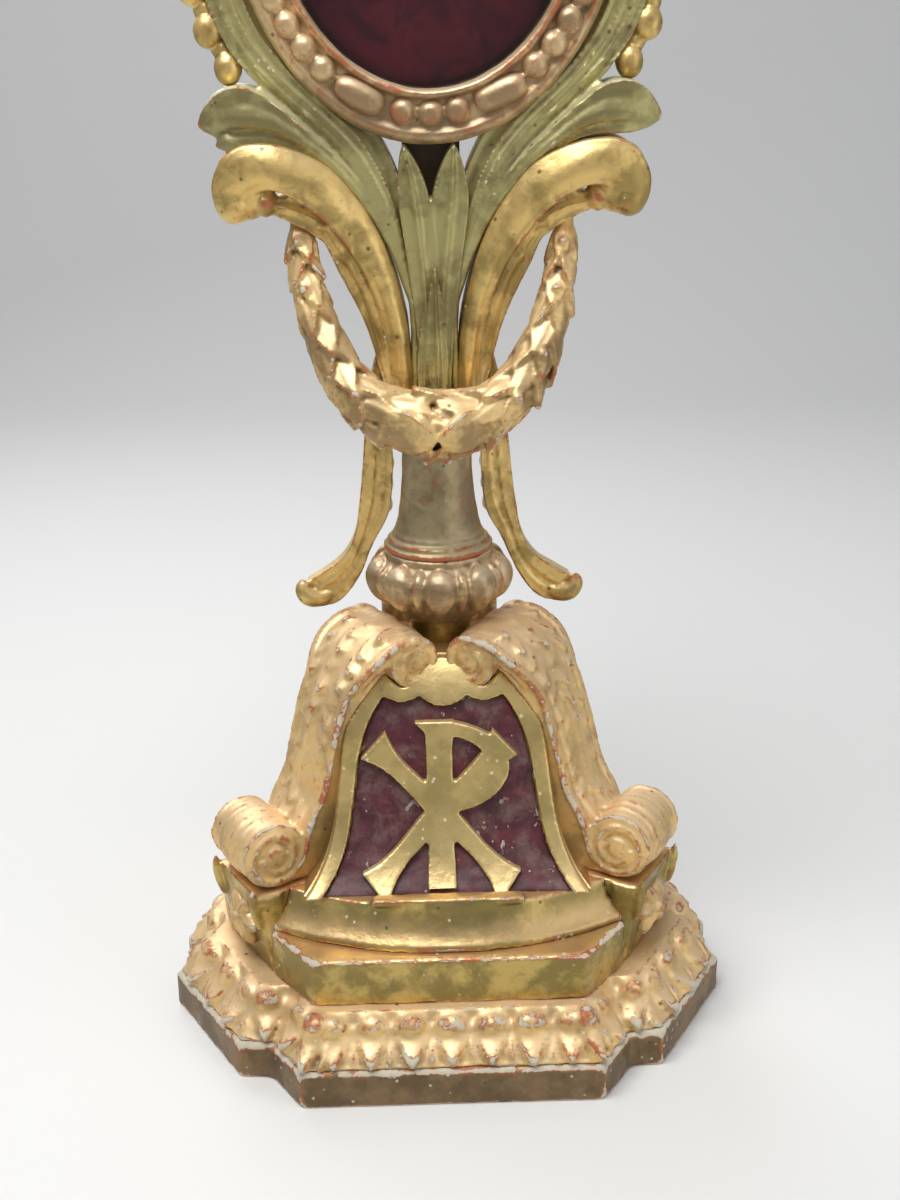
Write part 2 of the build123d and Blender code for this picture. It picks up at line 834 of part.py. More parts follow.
def make_spine():
    """Board behind the lance leaves that ties the column to the frame."""
    right = lance_half_points()[:-1]
    top = (right[-1][0], frame_z - frame_outer[1] + 4)
    face = smooth_face(right, (right[-1], top), (top, (-top[0], top[1])),
                       ((-top[0], top[1]), (-right[-1][0], right[-1][1])), mirrored(right),
                       ((-right[0][0], leaf_z), right[0]))
    return upright(face, spine_thickness - frame_back, frame_back)


def make_bract():
    h = leaf_z
    right = [(5.4, h + 3), (6.0, h + 0.45 * bract_height), (4.4, h + 0.68 * bract_height),
             (0, h + bract_height)]
    face = smooth_face(right, mirrored(right), ((-5.4, h + 3), (5.4, h + 3)))
    return upright(face, lance_front + bract_thickness, -lance_front)


def up_lances(*points):
    """Outline points whose heights are shares of the lance leaves' height."""
    return [(x, leaf_z + share * lance_height) for x, share in points]


def beside_frame(*points):
    """Outline points given as shares of the oval frame's outer half sizes."""
    return [(x * frame_outer[0], frame_z + z * frame_outer[1]) for x, z in points]


def green_edge():
    """Line between the green blade and the gold leaf, from the stem outwards."""
    return up_lances((8.6, 0), (8.2, 0.408), (10.2, 0.520), (17.5, 0.714), (31.5, 0.898),
                     (49.0, 1.031), (62.0, 1.026))


def blade_edge():
    """Outer edge of the right blade, from the curl to its tip."""
    return beside_frame((0.938, -0.744), (1.039, -0.598), (1.132, -0.427), (1.178, -0.195),
                        (1.171, 0.049), (1.085, 0.305), (0.899, 0.622))


def make_blade():
    """Right green leaf: its curl above the gold leaf and its blade beside the frame."""
    outer = blade_edge()
    curl = [green_edge()[-1], *up_lances((71.5, 1.051), (76.0, 1.107), (75.0, 1.153), (70.0, 1.199)),
            outer[0]]
    tip, hidden = outer[-1], [(30.0, frame_z), *up_lances((24.0, 1.102), (9.0, 0.990))]
    inner = [hidden[-1], *up_lances((6.0, 0.612), (4.2, 0.306), (4.2, 0))]
    face = smooth_face(green_edge(), curl, outer, (tip, hidden[0]), (hidden[0], hidden[1]),
                       (hidden[1], hidden[2]), inner, (inner[-1], green_edge()[0]))
    return upright(face, leaf_front, frame_back)


def make_acanthus():
    """Right gold leaf: scroll under the green curl and lobes down to the stem."""
    scroll = up_lances((62.0, 1.026), (67.5, 0.939), (68.8, 0.857), (65.5, 0.786),
                       (59.5, 0.765), (55.0, 0.791))
    lobe_1 = up_lances((55.0, 0.791), (48.0, 0.781), (42.0, 0.811))
    lobe_2 = up_lances((42.0, 0.811), (39.0, 0.755), (33.5, 0.714), (31.0, 0.709))
    lobe_3 = up_lances((31.0, 0.709), (28.0, 0.638), (25.0, 0.592), (22.8, 0.510),
                       (20.0, 0.347), (15.0, 0.031))
    foot = (15.0, leaf_z)
    face = smooth_face(green_edge(), scroll, lobe_1, lobe_2, lobe_3,
                       (lobe_3[-1], foot), (foot, green_edge()[0]))
    return upright(face, acanthus_front, frame_back)


def make_drop():
    """Right drop leaf: a tail beside the column that ends in a small scroll foot."""
    h = leaf_z
    outer = [(20.0, h + 28), (24.5, h + 10), (26.0, h - 6), (28.0, h - 26), (31.0, h - 43),
             (36.5, h - 52.5), (44.5, h - 58.5), (50.5, h - 62), (51.0, h - 68),
             (46.5, h - 71.5), (39.0, h - 70.5), (32.0, h - 64.5), (28.6, h - 57)]
    inner = [(28.6, h - 57), (27.2, h - 49), (22.0, h - 41.5), (17.4, h - 33), (16.4, h - 20),
             (16.4, h - 4), (15.0, h + 10), (13.0, h + 28)]
    face = smooth_face(outer, inner, (inner[-1], outer[0]))
    return upright(face, -frame_back, frame_back + drop_thickness)


def garland_path():
    """Right half of the garland from its hook to the middle, with its half thickness."""
    top = leaf_z + garland_hook * lance_height
    x, y, d = garland_half_span, garland_forward, garland_drop
    return [
        ((x, -2.0, top), 4.8), ((0.99 * x, -0.25 * y, top - 0.18 * d), 5.3),
        ((0.93 * x, -0.45 * y, top - 0.40 * d), 6.3), ((0.80 * x, -0.66 * y, top - 0.64 * d), 7.6),
        ((0.60 * x, -0.85 * y, top - 0.85 * d), 9.2), ((0.32 * x, -0.96 * y, top - 0.965 * d), 11.4),
        ((0.0, -y, top - d), garland_roll),
    ]


def make_garland():
    """Thick laurel roll that hangs from the two gold leaves."""
    right = garland_path()
    stations = right + [((-p[0], p[1], p[2]), r) for p, r in reversed(right[:-1])]
    line = Spline(*[p for p, _ in stations])
    sections = []
    for i, (p, r) in enumerate(stations):
        tangent = line % line.param_at_point(p)
        plane = Plane(origin=p, x_dir=(0, 1, 0), z_dir=tangent)
        sections.append(plane * Ellipse(0.86 * r, r))
    return loft(sections)


def make_berries():
    """String of berries seated along the outer edge of the right blade."""
    path = Spline(*blade_edge())
    string = None
    for i in range(berry_count):
        t = 0.06 + 0.66 * i / (berry_count - 1)
        along = path % t
        at = path @ t + Vector(along.Y, -along.X) * (0.55 * berry_radius)
        berry = Pos(at.X, -leaf_front * 0.35, at.Y) * Sphere(berry_radius)
        string = berry if string is None else string + berry
    return string


def make_crest():
    """Palmette on the frame's head: a tall middle leaf between two pairs of curls."""
    z = frame_z + frame_outer[1]
    h, w = crest_height, crest_half
    right = [
        (0, z + h), (0.16 * w, z + 0.80 * h), (0.24 * w, z + 0.60 * h),
        (0.30 * w, z + 0.52 * h),
    ]
    second = [(0.30 * w, z + 0.52 * h), (0.52 * w, z + 0.66 * h), (0.70 * w, z + 0.62 * h),
              (0.66 * w, z + 0.46 * h), (0.58 * w, z + 0.34 * h)]
    third = [(0.58 * w, z + 0.34 * h), (0.84 * w, z + 0.34 * h), (w, z + 0.22 * h),
             (0.96 * w, z + 0.04 * h), (0.86 * w, z - 0.16 * h)]
    foot = (0.86 * w, z - 0.16 * h)
    face = smooth_face(right, second, third, (foot, (-foot[0], foot[1])),
                       mirrored(third), mirrored(second), mirrored(right))
    return upright(face, leaf_front, frame_back)


# ---------------------------------------------------------------- assembly
def build():
    parts = {}
    parts["plinth"] = make_plinth()
    parts["leaf_moulding"] = make_leaf_moulding()
    parts["step_board"] = make_step_board()
    front_sill = make_front_sill(make_sill(sill_front, sill_bow))
    rear_sill = make_sill(sill_rear, sill_rear_bow)
    pedestal, scroll = make_pedestal(), make_scroll()
    flower = make_flower(pedestal)
    scrolls = []
    for side, angle in corner_angles.items():
        parts[f"{side}_pedestal"] = on_corner(angle, pedestal)
        parts[f"{side}_flower"] = on_corner(angle, flower)
        parts[f"{side}_scroll"] = on_corner(angle, scroll)
        scrolls.append(parts[f"{side}_scroll"])
    parts["base_core"] = make_base_core(scrolls)
    opening = panel_opening()
    panel = face_layer(opening, 0.0, panel_thickness)
    surround = face_layer(bell_face(0.4) - opening, 0.0, band_thickness)
    for face, turn in face_turns.items():
        parts[f"{face}_sill"] = Rot(0, 0, turn) * (front_sill if face == "front" else rear_sill)
        parts[f"{face}_panel"] = Rot(0, 0, turn) * panel - scrolls
        parts[f"{face}_surround"] = Rot(0, 0, turn) * surround - scrolls
    parts["christogram"] = (face_layer(emblem_face(), panel_thickness, panel_thickness + emblem_relief)
                            - [parts["front_surround"], parts["front_sill"]])
    parts["knob"] = make_knob()
    parts["column"] = make_column()
    parts["stem_dowel"] = make_dowel()

    parts["oval_frame"] = make_oval_frame()
    parts["frame_beads"] = make_frame_beads()
    parts["glass_pane"] = make_glass()
    parts["glazing_bead"] = make_glazing_bead()
    parts["back_ring"] = make_back_ring()
    parts["back_door"] = make_door()
    parts["velvet_pad"] = make_velvet_pad()
    parts["frame_hinge_leaves"] = make_frame_hinge_leaves()
    parts["door_hinge_leaves"] = make_door_hinge_leaves()
    parts["hinge_pins"] = make_hinge_pins()
    parts["frame_hinge_screws"] = make_hinge_screws(1)
    parts["door_hinge_screws"] = make_hinge_screws(-1)
    parts["turn_button"] = make_turn_button()
    parts["button_screw"] = make_button_screw()

    parts["lance_leaves"] = make_lances()
    frame_room = oval_plate(frame_outer, frame_front, frame_back)
    parts["spine"] = make_spine() - frame_room
    parts["lower_bract"] = make_bract()
    middle = [parts["lance_leaves"], parts["spine"], frame_room]
    blade = make_blade() - middle
    acanthus = make_acanthus() - blade
    drop = make_drop() - [parts["knob"], parts["column"]]
    berries = make_berries() - blade
    for side, plane in (("right", None), ("left", Plane.YZ)):
        for name, shape in (("blade", blade), ("acanthus", acanthus), ("drop", drop),
                            ("berries", berries)):
            parts[f"{side}_{name}"] = shape if plane is None else mirror(shape, plane)
    parts["garland"] = make_garland() - [
        parts["lower_bract"], parts["lance_leaves"], parts["left_acanthus"],
        parts["right_acanthus"], parts["left_blade"], parts["right_blade"]]
    parts["crest"] = make_crest() - frame_room
    return parts


for name, shape in build().items():
    export_step(shape, os.path.join("parts", f"{name}.step"))
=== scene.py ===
"""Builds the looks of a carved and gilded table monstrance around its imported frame."""

import math

import bmesh
import bpy
import numpy as np
from mathutils import Euler, Matrix, Vector


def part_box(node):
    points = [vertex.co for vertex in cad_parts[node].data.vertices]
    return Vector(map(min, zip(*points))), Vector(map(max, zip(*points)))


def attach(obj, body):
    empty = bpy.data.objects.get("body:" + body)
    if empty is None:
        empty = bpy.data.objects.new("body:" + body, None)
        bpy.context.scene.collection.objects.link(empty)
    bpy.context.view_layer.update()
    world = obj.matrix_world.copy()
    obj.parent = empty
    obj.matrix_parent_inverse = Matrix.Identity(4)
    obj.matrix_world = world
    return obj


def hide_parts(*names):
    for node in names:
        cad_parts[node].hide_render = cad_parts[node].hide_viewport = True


bl_info = {
    "name": "Carved table monstrance",
    "version": (1, 0, 0),
    "blender": (4, 5, 0),
    "location": "View3D > Sidebar > Monstrance",
    "description": "Carves, gilds and glazes a table monstrance around its packed frame",
    "category": "Add Mesh",
}

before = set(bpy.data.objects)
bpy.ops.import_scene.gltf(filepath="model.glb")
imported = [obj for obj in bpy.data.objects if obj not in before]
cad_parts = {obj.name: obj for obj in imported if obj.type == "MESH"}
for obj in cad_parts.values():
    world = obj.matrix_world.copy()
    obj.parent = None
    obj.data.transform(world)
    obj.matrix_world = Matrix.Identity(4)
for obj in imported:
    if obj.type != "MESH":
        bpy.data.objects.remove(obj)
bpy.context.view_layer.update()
MM = 0.001


def span(node):
    """Lowest and highest corners of a frame node, in millimetres."""
    low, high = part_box(node)
    return np.array(low) / MM, np.array(high) / MM


# Levels and sizes that the pieces share, in millimetres, read from the frame.
PLINTH_TOP = span("plinth")[1][2]
MOULDING_TOP = span("leaf_moulding")[1][2]
SILL_TOP = span("back_left_sill")[1][2]
KNOB_LOW, KNOB_HIGH = span("knob")[0][2], span("knob")[1][2]
LEAF_Z = span("column")[1][2]
FRAME_Z = float(np.mean([span("oval_frame")[0][2], span("oval_frame")[1][2]]))
OVAL = (span("oval_frame")[1][0], span("oval_frame")[1][2] - FRAME_Z)
CORNERS = {"left": 210.0, "right": 330.0, "back": 90.0}
FACES = {"front": 0.0, "back_right": 120.0, "back_left": 240.0}


# ------------------------------------------------------------------ sizes and colours
class MonstranceSizes(bpy.types.PropertyGroup):
    """Sizes of the carving that can be changed without changing the frame."""

    cut: bpy.props.FloatProperty(
        name="Tool mark",
        description="Finest carved detail, in millimetres",
        default=0.62, min=0.4, max=2.0)
    moulding_pitch: bpy.props.FloatProperty(
        name="Moulding leaf pitch",
        description="Distance between the leaves of the base moulding, in millimetres",
        default=14.6, min=8.0, max=24.0)
    knob_lobes: bpy.props.IntProperty(
        name="Knob lobes",
        description="Large lobes round the knob; a narrow one stands between each two",
        default=9, min=5, max=16)
    bead_spacing: bpy.props.FloatProperty(
        name="Bead spacing",
        description="Distance between the beads round the oval frame, in millimetres",
        default=9.2, min=6.0, max=14.0)
    garland_ring: bpy.props.FloatProperty(
        name="Garland leaf step",
        description="Distance between the rows of laurel leaves, in millimetres",
        default=8.0, min=5.0, max=14.0)
    petals: bpy.props.IntProperty(
        name="Flower petals",
        description="Petals round each pedestal flower",
        default=6, min=4, max=9)


def colour_property(name, description, default):
    """A colour that a user can change."""
    return bpy.props.FloatVectorProperty(
        name=name, description=description, default=default, size=3,
        subtype="COLOR", min=0.0, max=1.0)


class MonstranceColours(bpy.types.PropertyGroup):
    """Colours of the finishes."""

    gold: colour_property("Gold leaf", "Clean gold leaf on the boards", (0.56, 0.41, 0.135))
    old_gold: colour_property("Old gold", "Gold leaf gone dull and olive", (0.27, 0.205, 0.065))
    green_gold: colour_property("Green gold", "Pale greenish leaf on the long leaves", (0.44, 0.39, 0.165))
    bole: colour_property("Bole", "Red clay under the leaf", (0.44, 0.13, 0.045))
    chalk: colour_property("Chalk ground", "Bare chalk ground in the losses", (0.72, 0.64, 0.50))
    # Darkens the hollows as grime and painted shade, and colours the dirt spots.
    grime_and_shade: colour_property("Grime", "Dust and dirt in the hollows", (0.085, 0.050, 0.022))
    wine: colour_property("Panel red", "Dark red paint of the sunk panels", (0.055, 0.010, 0.016))
    velvet: colour_property("Velvet", "Crimson velvet behind the glass", (0.070, 0.002, 0.009))
    # Darkened so that the spine paints the shade of the hollow behind the lance tips; the back paint's worn
    # spots use it too.
    wood: colour_property("Bare wood", "Wood left without gold", (0.085, 0.055, 0.030))
    floor: colour_property("Floor", "Pale studio floor", (0.80, 0.80, 0.79))


def sizes():
    return bpy.context.scene.monstrance_sizes


def colour(name):
    """A colour setting with its alpha."""
    return (*getattr(bpy.context.scene.monstrance_colours, name), 1.0)


# ------------------------------------------------------------------ mesh tools, in millimetres
class Block:
    """Loose closed shells gathered before they are carved into one piece."""

    def __init__(self):
        self.points, self.faces = [], []

    def add(self, points, faces):
        start = len(self.points)
        self.points.extend(tuple(map(float, p)) for p in points)
        self.faces.extend(tuple(start + i for i in f) for f in faces)
        return self

    def add_mesh(self, mesh, matrix=None):
        """Take in a Blender mesh, which is then removed."""
        if matrix is not None:
            mesh.transform(matrix)
        self.add([v.co for v in mesh.vertices], [tuple(p.vertices) for p in mesh.polygons])
        bpy.data.meshes.remove(mesh)
        return self

    def turned(self, degrees):
        """Turn everything gathered so far about the upright axis."""
        turn = Matrix.Rotation(math.radians(degrees), 3, "Z")
        self.points = [tuple(turn @ Vector(p)) for p in self.points]
        return self

    def mirrored(self):
        """Change right for left."""
        self.points = [(-x, y, z) for x, y, z in self.points]
        self.faces = [tuple(reversed(f)) for f in self.faces]
        return self

    def mesh(self, name="block"):
        made = bpy.data.meshes.new(name)
        made.from_pydata(self.points, [], self.faces)
        tidy = bmesh.new()
        tidy.from_mesh(made)
        bmesh.ops.recalc_face_normals(tidy, faces=tidy.faces)
        tidy.to_mesh(made)
        tidy.free()
        return made


def frame_shell(node):
    """Merged copy of a frame node's mesh, in millimetres, as a Block."""
    copy = bmesh.new()
    copy.from_mesh(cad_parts[node].data)
    bmesh.ops.remove_doubles(copy, verts=copy.verts, dist=1e-6)
    block = Block().add([v.co / MM for v in copy.verts],
                        [tuple(v.index for v in f.verts) for f in copy.faces])
    copy.free()
    return block


def lumps(node):
    """Middle of each separate solid of a frame node, in millimetres."""
    shell = frame_shell(node)
    parent = list(range(len(shell.points)))

    def root(i):
        while parent[i] != i:
            parent[i] = parent[parent[i]]
            i = parent[i]
        return i

    for face in shell.faces:
        for i in face[1:]:
            parent[root(i)] = root(face[0])
    groups = {}
    for i, p in enumerate(shell.points):
        groups.setdefault(root(i), []).append(p)
    return [np.array(g).mean(axis=0) for g in groups.values()]


def smooth_line(points, count):
    """Points evenly spaced along a smooth curve through the given ones."""
    p = np.array(points, float)
    padded = np.vstack([2 * p[0] - p[1], p, 2 * p[-1] - p[-2]])
    fine = []
    for i in range(len(p) - 1):
        a, b, c, d = padded[i:i + 4]
        for t in np.linspace(0, 1, 24, endpoint=False):
            fine.append(0.5 * (2 * b + (c - a) * t + (2 * a - 5 * b + 4 * c - d) * t ** 2
                               + (3 * b - a - 3 * c + d) * t ** 3))
    fine = np.array(fine + [p[-1]])
    run = np.concatenate([[0], np.cumsum(np.linalg.norm(np.diff(fine, axis=0), axis=1))])
    at = np.linspace(0, run[-1], count)
    return np.stack([np.interp(at, run, fine[:, k]) for k in range(p.shape[1])], 1)


def directions(line):
    """Unit tangent at each point of a line."""
    step = np.gradient(line, axis=0)
    return step / np.maximum(np.linalg.norm(step, axis=1, keepdims=True), 1e-9)


def loft(rings, capped=True):
    """Closed shell through rings that have the same number of points."""
    count = len(rings[0])
    points = [p for ring in rings for p in ring]
    faces = []
    for r in range(len(rings) - 1):
        a, b = r * count, (r + 1) * count
        for i in range(count):
            j = (i + 1) % count
            faces.append((a + i, a + j, b + j, b + i))
    if capped:
        faces.append(tuple(reversed(range(count))))
        faces.append(tuple(range(len(points) - count, len(points))))
    return points, faces


def ribbon(line, half, front, back, facing=(0, -1, 0), lift=None, columns=11):
    """Strap of carving along a line. half(t), front(t, u) and back(t) are sizes; u runs -1 to 1 across."""
    line = np.array(line, float)
    run = directions(line)
    rings = []
    for i, p in enumerate(line):
        t = i / (len(line) - 1)
        out = np.array(facing, float) if lift is None else np.array(lift(t), float)
        side = np.cross(out, run[i])
        side /= max(np.linalg.norm(side), 1e-9)
        out = np.cross(run[i], side)
        across = np.linspace(-1, 1, columns)
        top = [p + side * (half(t) * u) + out * front(t, u) for u in across]
        low = [p + side * (half(t) * u) - out * back(t) for u in across[::-1]]
        rings.append(top + low)
    return loft(rings)


def tube(line, radii, sides=16, squash=1.0, facing=(0, -1, 0)):
    """Round roll along a line, squashed towards its facing side."""
    line = np.array(line, float)
    run = directions(line)
    rings = []
    for i, p in enumerate(line):
        side = np.cross(facing, run[i])
        side /= max(np.linalg.norm(side), 1e-9)
        out = np.cross(run[i], side)
        r = radii[i] if hasattr(radii, "__len__") else radii
        rings.append([p + side * (r * math.cos(a)) + out * (r * squash * math.sin(a))
                      for a in np.linspace(0, 2 * math.pi, sides, endpoint=False)])
    return loft(rings)


def ball(centre, radii, turn=(0, 0, 0), rows=9, sides=14):
    """Egg-shaped lump, turned in degrees."""
    spin = Euler([math.radians(a) for a in turn]).to_matrix()
    rings = []
    for i in range(1, rows):
        a = math.pi * i / rows
        rings.append([Vector(centre) + spin @ Vector((
            radii[0] * math.sin(a) * math.cos(b), radii[1] * math.sin(a) * math.sin(b),
            -radii[2] * math.cos(a))) for b in np.linspace(0, 2 * math.pi, sides, endpoint=False)])
    return loft(rings)


def lathe(profile, sides=96, ripple=None):
    """Turned solid from (radius, height) pairs, lowest first. ripple(angle, share) scales the radius."""
    rings = []
    for i, (r, z) in enumerate(profile):
        t = i / (len(profile) - 1)
        ring = []
        for a in np.linspace(0, 2 * math.pi, sides, endpoint=False):
            k = 1.0 if ripple is None else ripple(a, t)
            ring.append((r * k * math.cos(a), r * k * math.sin(a), z))
        rings.append(ring)
    return loft(rings)


def prism(outline, y_front, y_back):
    """Board cut to an outline in X and Z, between two depths."""
    return loft([[(x, y_front, z) for x, z in outline], [(x, y_back, z) for x, z in outline]])


def grain(points, size, seed):
    """Smooth random value from -1 to 1 at each point, with lumps of a given size."""
    p = np.asarray(points) / size + seed * 17.37
    cell = np.floor(p).astype(np.int64)
    f = p - cell
    f = f * f * (3 - 2 * f)
    value = np.zeros(len(p))
    for dx in (0, 1):
        for dy in (0, 1):
            for dz in (0, 1):
                n = (cell[:, 0] + dx) * 374761393 + (cell[:, 1] + dy) * 668265263 \
                    + (cell[:, 2] + dz) * 2147483647 + seed * 144665
                n = (n ^ (n >> 13)) * 1274126177
                n = (n ^ (n >> 16)) & 0xFFFF
                w = (f[:, 0] if dx else 1 - f[:, 0]) * (f[:, 1] if dy else 1 - f[:, 1]) \
                    * (f[:, 2] if dz else 1 - f[:, 2])
                value += w * (n / 32767.5 - 1)
    return value


def relaxed(co, edges, times, share=0.5):
    """Points moved towards the mean of their neighbours."""
    count = np.bincount(edges.ravel(), minlength=len(co))[:, None].clip(1)
    for _ in range(times):
        total = np.stack([
            np.bincount(edges[:, 0], co[edges[:, 1], k], len(co))
            + np.bincount(edges[:, 1], co[edges[:, 0], k], len(co)) for k in range(3)], 1)
        co = co + (total / count - co) * share
    return co


def carve(name, block, finish, nodes=(), body="stand", cut=None, ease=2,
          dents=0.10, chips=0.35):
    """Fuse the shells of a block into one carved, worn and finished piece on a body.

    cut is the finest detail, ease how much the tool marks are rubbed down, dents
    the depth of the uneven ground, chips the depth of the losses on proud edges.
    """
    cut = cut or sizes().cut
    rough = bpy.data.objects.new(name + "_rough", block.mesh())
    bpy.context.scene.collection.objects.link(rough)
    voxels = rough.modifiers.new("fuse", "REMESH")
    voxels.mode = "VOXEL"
    voxels.voxel_size = cut
    bpy.context.view_layer.update()
    mesh = bpy.data.meshes.new_from_object(rough.evaluated_get(bpy.context.evaluated_depsgraph_get()))
    old = rough.data
    bpy.data.objects.remove(rough)
    bpy.data.meshes.remove(old)
    mesh.name = name
    if not len(mesh.polygons):
        raise RuntimeError(f"{name} came out empty")
    co = np.zeros(len(mesh.vertices) * 3)
    mesh.vertices.foreach_get("co", co)
    co = co.reshape(-1, 3)
    edges = np.zeros(len(mesh.edges) * 2, np.int64)
    mesh.edges.foreach_get("vertices", edges)
    edges = edges.reshape(-1, 2)
    co = relaxed(co, edges, ease)
    normal = normals_of(mesh, co)
    proud = ((co - relaxed(co, edges, max(2, int(3.6 / cut)), 0.7)) * normal).sum(1)
    seed = sum(map(ord, name)) % 97
    loss = np.clip(grain(co, 6.5, seed) + 0.45 * grain(co, 1.9, seed + 1) - 0.25, 0, 1)
    dent = dents * (grain(co, 7.0, seed + 2) + 0.5 * grain(co, 2.6, seed + 3))
    co = co + normal * (dent - chips * loss * np.clip(proud / 0.25, 0, 1))[:, None]
    co = relaxed(co, edges, 1, 0.4)
    normal = normals_of(mesh, co)
    fine = ((co - relaxed(co, edges, max(2, int(2.4 / cut)), 0.7)) * normal).sum(1)
    wide = ((co - relaxed(co, edges, int(14 / cut), 0.9)) * normal).sum(1)
    for label, value in (("fine_relief", fine), ("wide_relief", wide)):
        mesh.attributes.new(label, "FLOAT", "POINT").data.foreach_set("value", value.astype(np.float32))
    mesh.vertices.foreach_set("co", (co * MM).ravel())
    mesh.shade_smooth()
    mesh.update()
    return dress(name, mesh, finish, nodes, body)


def normals_of(mesh, co):
    """Vertex normals for the given places."""
    mesh.vertices.foreach_set("co", co.ravel())
    mesh.update()
    normal = np.zeros(len(co) * 3)
    mesh.vertex_normals.foreach_get("vector", normal)
    return normal.reshape(-1, 3)


def dress(name, mesh, finish, nodes=(), body="stand"):
    """Make the piece's object, give it its finish, hang it on its body and hide the frame nodes it replaces.
    """
    mesh.materials.clear()
    mesh.materials.append(finish)
    piece = bpy.data.objects.new(name, mesh)
    bpy.context.scene.collection.objects.link(piece)
    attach(piece, body)
    if nodes:
        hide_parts(*nodes)
    return piece


# ------------------------------------------------------------------ repeated shapes
def repeat_tree():
    """Node tree that sets one carved shape at every point of a mesh."""
    tree = bpy.data.node_groups.get("Carved shapes at points")
    if tree:
        return tree
    tree = bpy.data.node_groups.new("Carved shapes at points", "GeometryNodeTree")
    add_socket = tree.interface.new_socket
    add_socket(name="Geometry", in_out="INPUT", socket_type="NodeSocketGeometry")
    add_socket(name="Shape", in_out="INPUT", socket_type="NodeSocketObject")
    add_socket(name="Size", in_out="INPUT", socket_type="NodeSocketFloat").default_value = 1.0
    add_socket(name="Uneven turn", in_out="INPUT", socket_type="NodeSocketFloat").default_value = 0.0
    add_socket(name="Uneven size", in_out="INPUT", socket_type="NodeSocketFloat").default_value = 0.0
    add_socket(name="Seed", in_out="INPUT", socket_type="NodeSocketInt").default_value = 1
    add_socket(name="Finish", in_out="INPUT", socket_type="NodeSocketMaterial")
    add_socket(name="Geometry", in_out="OUTPUT", socket_type="NodeSocketGeometry")
    node, link = tree.nodes.new, tree.links.new
    given, result = node("NodeGroupInput"), node("NodeGroupOutput")
    shape = node("GeometryNodeObjectInfo")
    shape.transform_space = "ORIGINAL"
    shape.inputs["As Instance"].default_value = True
    link(given.outputs["Shape"], shape.inputs["Object"])
    turn, grow = node("GeometryNodeInputNamedAttribute"), node("GeometryNodeInputNamedAttribute")
    for field, label in ((turn, "turn"), (grow, "grow")):
        field.data_type = "FLOAT_VECTOR"
        field.inputs["Name"].default_value = label
    chance = node("FunctionNodeRandomValue")
    chance.data_type = "FLOAT_VECTOR"
    chance.inputs["Min"].default_value = (-1, -1, -1)
    chance.inputs["Max"].default_value = (1, 1, 1)
    link(given.outputs["Seed"], chance.inputs["Seed"])
    wobble = node("ShaderNodeVectorMath")
    wobble.operation = "SCALE"
    link(chance.outputs["Value"], wobble.inputs[0])
    link(given.outputs["Uneven turn"], wobble.inputs["Scale"])
    turned = node("ShaderNodeVectorMath")
    link(turn.outputs["Attribute"], turned.inputs[0])
    link(wobble.outputs[0], turned.inputs[1])
    swell = node("ShaderNodeVectorMath")
    swell.operation = "SCALE"
    link(chance.outputs["Value"], swell.inputs[0])
    link(given.outputs["Uneven size"], swell.inputs["Scale"])
    one = node("ShaderNodeVectorMath")
    one.inputs[1].default_value = (1, 1, 1)
    link(swell.outputs[0], one.inputs[0])
    grown = node("ShaderNodeVectorMath")
    grown.operation = "MULTIPLY"
    link(one.outputs[0], grown.inputs[0])
    link(grow.outputs["Attribute"], grown.inputs[1])
    sized = node("ShaderNodeVectorMath")
    sized.operation = "SCALE"
    link(grown.outputs[0], sized.inputs[0])
    link(given.outputs["Size"], sized.inputs["Scale"])
    placed = node("GeometryNodeInstanceOnPoints")
    link(given.outputs["Geometry"], placed.inputs["Points"])
    link(shape.outputs["Geometry"], placed.inputs["Instance"])
    link(turned.outputs[0], placed.inputs["Rotation"])
    link(sized.outputs[0], placed.inputs["Scale"])
    real, finish = node("GeometryNodeRealizeInstances"), node("GeometryNodeSetMaterial")
    link(placed.outputs["Instances"], real.inputs["Geometry"])
    link(real.outputs["Geometry"], finish.inputs["Geometry"])
    link(given.outputs["Finish"], finish.inputs["Material"])
    link(finish.outputs["Geometry"], result.inputs["Geometry"])
    return tree


def axes(out, along):
    """Turn that takes +Z to out and +Y as near as it can to along."""
    z = Vector(out).normalized()
    x = Vector(along).cross(z).normalized()
    return Matrix((x, z.cross(x), z)).transposed()


def repeat(shape, spots, finish, size=1.0, uneven_turn=0.0, uneven_size=0.0, seed=1):
    """Mesh of a shape set at each spot: (place, 3x3 turn, (width, length, height) scale)."""
    spots = list(spots)
    guide = bpy.data.meshes.new("spots")
    guide.from_pydata([s[0] for s in spots], [], [])
    turns = [tuple(s[1].to_euler()) for s in spots]
    for label, values in (("turn", turns), ("grow", [s[2] for s in spots])):
        guide.attributes.new(label, "FLOAT_VECTOR", "POINT").data.foreach_set(
            "vector", np.array(values, np.float32).ravel())
    host = bpy.data.objects.new("spots", guide)
    pattern = bpy.data.objects.new("shape", shape.mesh("shape"))
    for o in (host, pattern):
        bpy.context.scene.collection.objects.link(o)
    tree = repeat_tree()
    step = host.modifiers.new("repeat", "NODES")
    step.node_group = tree
    keys = {item.name: item.identifier for item in tree.interface.items_tree if item.in_out == "INPUT"}
    for label, value in (("Shape", pattern), ("Size", size), ("Uneven turn", uneven_turn),
                         ("Uneven size", uneven_size), ("Seed", seed), ("Finish", finish)):
        step[keys[label]] = value
    bpy.context.view_layer.update()
    mesh = bpy.data.meshes.new_from_object(host.evaluated_get(bpy.context.evaluated_depsgraph_get()))
    for o in (host, pattern):
        old = o.data
        bpy.data.objects.remove(o)
        bpy.data.meshes.remove(old)
    if not len(mesh.polygons):
        raise RuntimeError("nothing was repeated")
    return mesh


